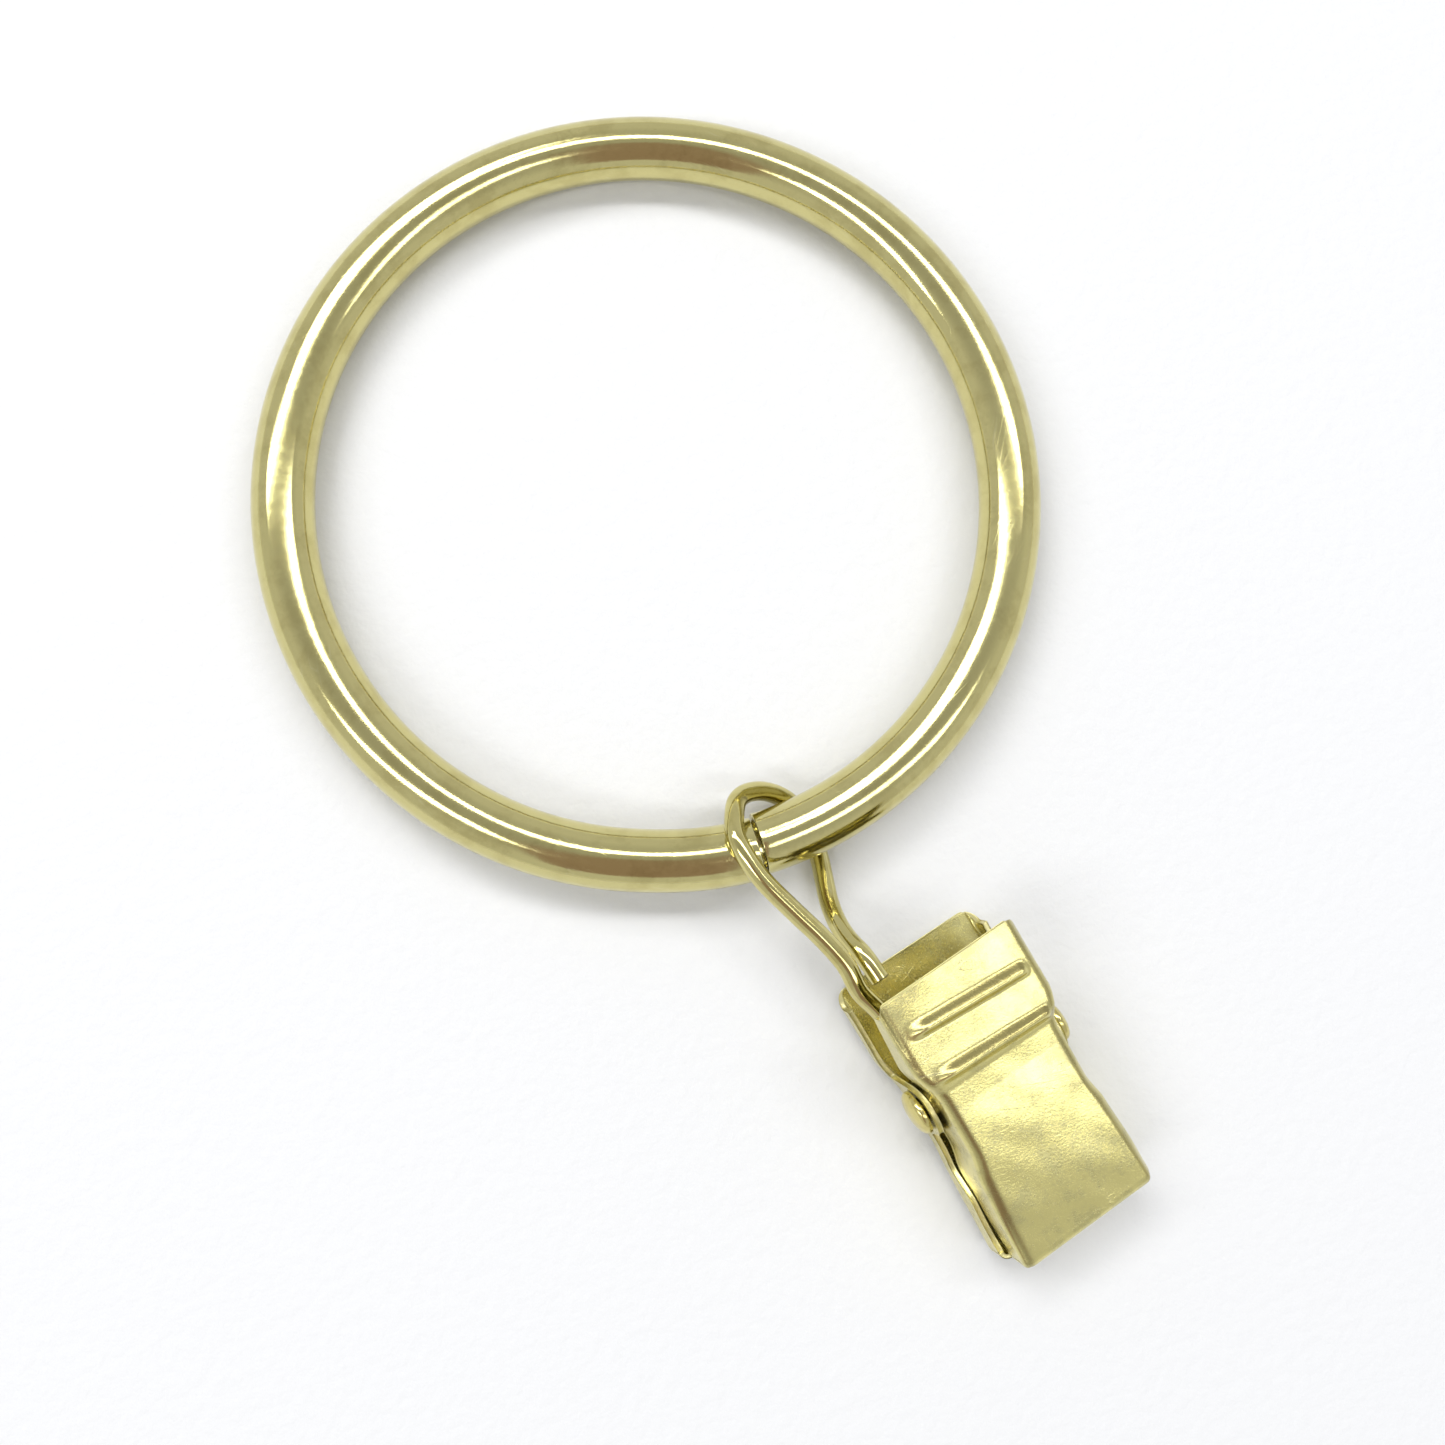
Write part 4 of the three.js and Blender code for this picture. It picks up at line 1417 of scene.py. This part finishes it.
@dataclass
class Studio:
    """The white table, the lights over it and the camera above the ring."""

    heading: float = math.radians(-20.6)
    height: float = 1.2
    brightness: float = 7.8
    fill: float = 0.6
    table: Colour = (0.84, 0.846, 0.86)
    zenith: Colour = (0.48, 0.48, 0.485)
    walls: Colour = (0.7, 0.7, 0.705)
    horizon: Colour = (0.92, 0.92, 0.93)
    panels: tuple[Panel, ...] = (
        Panel("long_panel", -0.2, 0.41, 2.0, 0.17),
        Panel("short_panel", -0.4, 0.64, 0.55, 0.28),
        Panel("left_panel", -0.72, -0.45, 0.85, 0.2, 0.1),
        Panel("right_panel", 0.53, -0.27, 0.7, 0.2, share=0.5),
    )
    flag_outline: Rows = (
        (-0.02, 0.02),
        (0.05, 0.02),
        (0.15, -0.3),
        (0.24, -0.7),
        (0.42, -1.5),
        (0.42, -1.9),
        (-0.6, -1.9),
        (-0.55, -1.5),
        (-0.36, -0.7),
        (-0.2, -0.3),
    )
    flag_level: float = 0.97
    figure_reflection_colour: Colour = (0.38, 0.28, 0.26)
    table_half: float = 6.0
    table_roughness: float = 0.6
    table_grain: float = 900.0
    camera_offset: Triple = (-12.97, -24.56, 128.36)
    look: Triple = (0.0925, 0.0498, -0.9945)
    upward: Triple = (0.3499, 0.9334, 0.0793)
    lens: float = 42.35
    sensor: float = 36.0
    clip_range: Span = (0.001, 50.0)

    def over(self, centre: np.ndarray, right: float, up: float, height: float) -> np.ndarray:
        """A point overhead: right and up are per metre of height, as the camera sees them."""
        c, s = math.cos(self.heading), math.sin(self.heading)
        return centre + height * np.array([right * c - up * s, right * s + up * c, 1.0])

    def build(self) -> None:
        """Makes the table, the lights, the dark sheet that paints a reflection between them, and the camera.
        """
        centre = np.array(joint("eye_travel")["pos_m"])
        self.build_table()
        self.build_world()
        for panel in self.panels:
            self.build_panel(panel, centre)
        self.build_flag(centre)
        self.build_camera(centre)

    def build_table(self) -> None:
        """A large table top at the height that the part lies on."""
        half = self.table_half
        white, kit = blank_material("table_white")
        point = kit.node("ShaderNodeTexCoord").outputs["Object"]
        grain = kit.noise(point, self.table_grain)
        bump = kit.node("ShaderNodeBump", None, {"Height": grain, "Distance": 0.0001})
        inputs = {"Base Color": (*self.table, 1.0), "Roughness": self.table_roughness}
        kit.surface("ShaderNodeBsdfPrincipled", {**inputs, "Normal": bump.outputs[0]})
        self.sheet("table", [(-half, -half, 0), (half, -half, 0), (half, half, 0), (-half, half, 0)], white)

    @staticmethod
    def sheet(name: str, outline: list[tuple], finish: bpy.types.Material) -> bpy.types.Object:
        """Makes one flat sheet of the setting.

        Args:
            name: The sheet's name.
            outline: Its corners in order.
            finish: Its material.

        Returns:
            The sheet, in the scene.
        """
        mesh = bpy.data.meshes.new(name)
        mesh.from_pydata(outline, [], [tuple(range(len(outline)))])
        mesh.materials.append(finish)
        made = add_object(name, mesh)
        return made

    def build_world(self) -> None:
        """A plain room, grey overhead with paler walls, weaker as light on the table than seen in metal."""
        world = bpy.data.worlds.new("room")
        bpy.context.scene.world = world
        world.use_nodes = True
        kit = NodeKit(world.node_tree)
        direction = kit.node("ShaderNodeTexCoord").outputs["Generated"]
        height = kit.node("ShaderNodeSeparateXYZ", None, {"Vector": direction}).outputs["Z"]
        stops = [(0.0, self.horizon), (0.12, self.walls), (0.5, self.walls), (0.95, self.zenith)]
        sky = kit.node("ShaderNodeValToRGB", {"stops": stops}, {"Fac": height})
        path = kit.node("ShaderNodeLightPath").outputs
        seen = [Number(kit, path[name]) for name in ("Is Camera Ray", "Is Glossy Ray", "Is Transmission Ray")]
        strength = self.fill + (1.0 - self.fill) * kit.math("MINIMUM", seen[0] + seen[1] + seen[2], 1.0)
        ground = kit.node("ShaderNodeBackground", None, {"Color": sky.outputs["Color"], "Strength": strength})
        kit.node("ShaderNodeOutputWorld", None, {"Surface": ground.outputs[0]})

    def build_panel(self, panel: Panel, centre: np.ndarray) -> None:
        """Hangs one soft light over the table, facing straight down.

        Args:
            panel: Where it is and how big.
            centre: The ring's middle.
        """
        lamp = bpy.data.lights.new(panel.name, "AREA")
        lamp.shape = "RECTANGLE"
        lamp.size = panel.width * self.height
        lamp.size_y = panel.depth * self.height
        lamp.energy = panel.share * self.brightness * math.pi * lamp.size * lamp.size_y
        made = add_object(panel.name, lamp)
        made.location = self.over(centre, panel.right, panel.up, self.height)
        made.rotation_euler = (0.0, 0.0, self.heading + panel.turn)

    def build_flag(self, centre: np.ndarray) -> None:
        """A dull brown sheet that glows dimly just under the lights, seen only in the metal, between the two
        lower lights: a painted reflection of a dark shape overhead.

        Args:
            centre: The ring's middle.
        """
        height = self.height * self.flag_level
        points = [tuple(self.over(centre, right, up, height)) for right, up in self.flag_outline]
        brown, kit = blank_material("painted_reflection_brown")
        # Painted reflection: a dim brown glow that only the metal shows.
        kit.surface("ShaderNodeEmission", {"Color": (*self.figure_reflection_colour, 1.0)})
        flag = self.sheet("flag", points, brown)
        flag.visible_camera = False
        flag.visible_diffuse = False
        flag.visible_shadow = False

    def build_camera(self, centre: np.ndarray) -> None:
        """The camera above the ring, a little to the lower left of its middle.

        Args:
            centre: The ring's middle.
        """
        lens = bpy.data.cameras.new("camera")
        lens.lens = self.lens
        lens.sensor_width = self.sensor
        lens.clip_start, lens.clip_end = self.clip_range
        camera = add_object("camera", lens)
        back = unit(-np.array(self.look))
        side = unit(np.cross(np.array(self.upward), back))
        axes = np.stack([side, np.cross(back, side), back], -1)
        where = centre + np.array(self.camera_offset) * MM
        rows = [[*row, place] for row, place in zip(axes.tolist(), where)]
        camera.matrix_world = Matrix([*rows, [0, 0, 0, 1]])
        bpy.context.scene.camera = camera
        bpy.context.scene.view_settings.view_transform = "Standard"


# ---- The object -------------------------------------------------------------------------------------------

RING_PLATING = Plating(
    name="bright_tube_plating",
    colour=(0.63, 0.575, 0.26),
    dull=(0.5, 0.44, 0.18),
    roughness=0.11,
    spread=0.04,
    grain=0.12,
    grain_depth=0.003,
    blotch=2.6,
    drawn_depth=0.0016,
    wave=1.1,
    wave_depth=0.006,
)
WIRE_PLATING = Plating(
    name="bright_wire_plating",
    colour=(0.62, 0.56, 0.24),
    dull=(0.5, 0.43, 0.15),
    roughness=0.09,
    spread=0.04,
    grain=0.1,
    grain_depth=0.0012,
    blotch=1.8,
    drawn_depth=0.0012,
)
CLIP_PLATING = Plating(
    name="satin_sheet_plating",
    colour=(0.71, 0.645, 0.27),
    dull=(0.47, 0.44, 0.215),
    roughness=0.25,
    spread=0.1,
    grain=0.17,
    grain_depth=0.011,
    blotch=1.7,
    drawn_depth=0.0006,
    lay=Lay.ACROSS,
    wave=1.0,
    wave_depth=0.004,
)
PIN_PLATING = Plating(
    name="bright_pin_plating",
    colour=(0.66, 0.58, 0.23),
    dull=(0.5, 0.42, 0.15),
    roughness=0.18,
    spread=0.05,
    grain=0.1,
    grain_depth=0.0015,
    blotch=1.2,
    drawn_depth=0.0,
)
SPRING_STEEL = Plating(
    name="drawn_spring_steel",
    colour=(0.55, 0.54, 0.5),
    dull=(0.4, 0.38, 0.34),
    roughness=0.28,
    spread=0.06,
    grain=0.08,
    grain_depth=0.0015,
    blotch=1.2,
    drawn_depth=0.002,
    # Painted edge highlight colour, which the scratches also take.
    bright=(0.8, 0.8, 0.78),
)


def front_jaw() -> Jaw:
    """The narrower jaw on top, with a stepped handle and two beads across it.

    Returns:
        The front jaw.
    """
    return Jaw(
        handle_height=5.6,
        panel_height=4.85,
        tip_height=3.9,
        handle_width=12.1,
        ear_width=10.4,
        grip_width=10.7,
        tip_width=11.8,
        handle_flange=2.1,
        waist_edge=0.9,
        notch_edge=-0.9,
        tip_edge=-0.6,
        ear_radius=2.2,
        corner_radius=0.8,
        lip_side=1,
        beads=(6.5, 2.8),
        bead_slant=0.045,
        end_slant=0.042,
        crown=0.06,
        bow=0.14,
        handle_twist=0.5,
        grip_twist=0.18,
        splay=0.12,
    )


def back_jaw(front: Jaw, ear_gap: float, nest_gap: float = 0.2) -> Jaw:
    """The wider jaw below, which holds the front one between its flanges.

    Args:
        front: The front jaw.
        ear_gap: The gap between a front ear and the back ear outside it.
        nest_gap: The same between the flanges of the two grips.

    Returns:
        The back jaw.
    """
    nest = 2 * (nest_gap + front.sheet)
    return Jaw(
        handle_height=5.0,
        tip_height=2.9,
        handle_width=12.9,
        ear_width=front.ear_width + 2 * (ear_gap + front.sheet),
        grip_width=front.grip_width + nest,
        tip_width=front.tip_width + nest,
        handle_flange=2.4,
        waist_edge=2.6,
        notch_edge=1.4,
        tip_edge=0.1,
        ear_radius=2.3,
        corner_radius=1.2,
        lip_side=-1,
        seed=8,
    )


def main() -> None:
    """Builds the ring, the clip, the eye and the studio, in that order."""
    logging.basicConfig(level=logging.INFO, format="%(message)s")
    pivot = Pivot()
    front = front_jaw()
    ring = RolledRing()
    ring.build(RING_PLATING)
    clip = Clip(front, back_jaw(front, pivot.ear_gap), pivot)
    clip.build(CLIP_PLATING, PIN_PLATING, SPRING_STEEL)
    EyeWire().build(ring, clip, WIRE_PLATING)
    Studio().build()


if __name__ == "__main__":
    main()
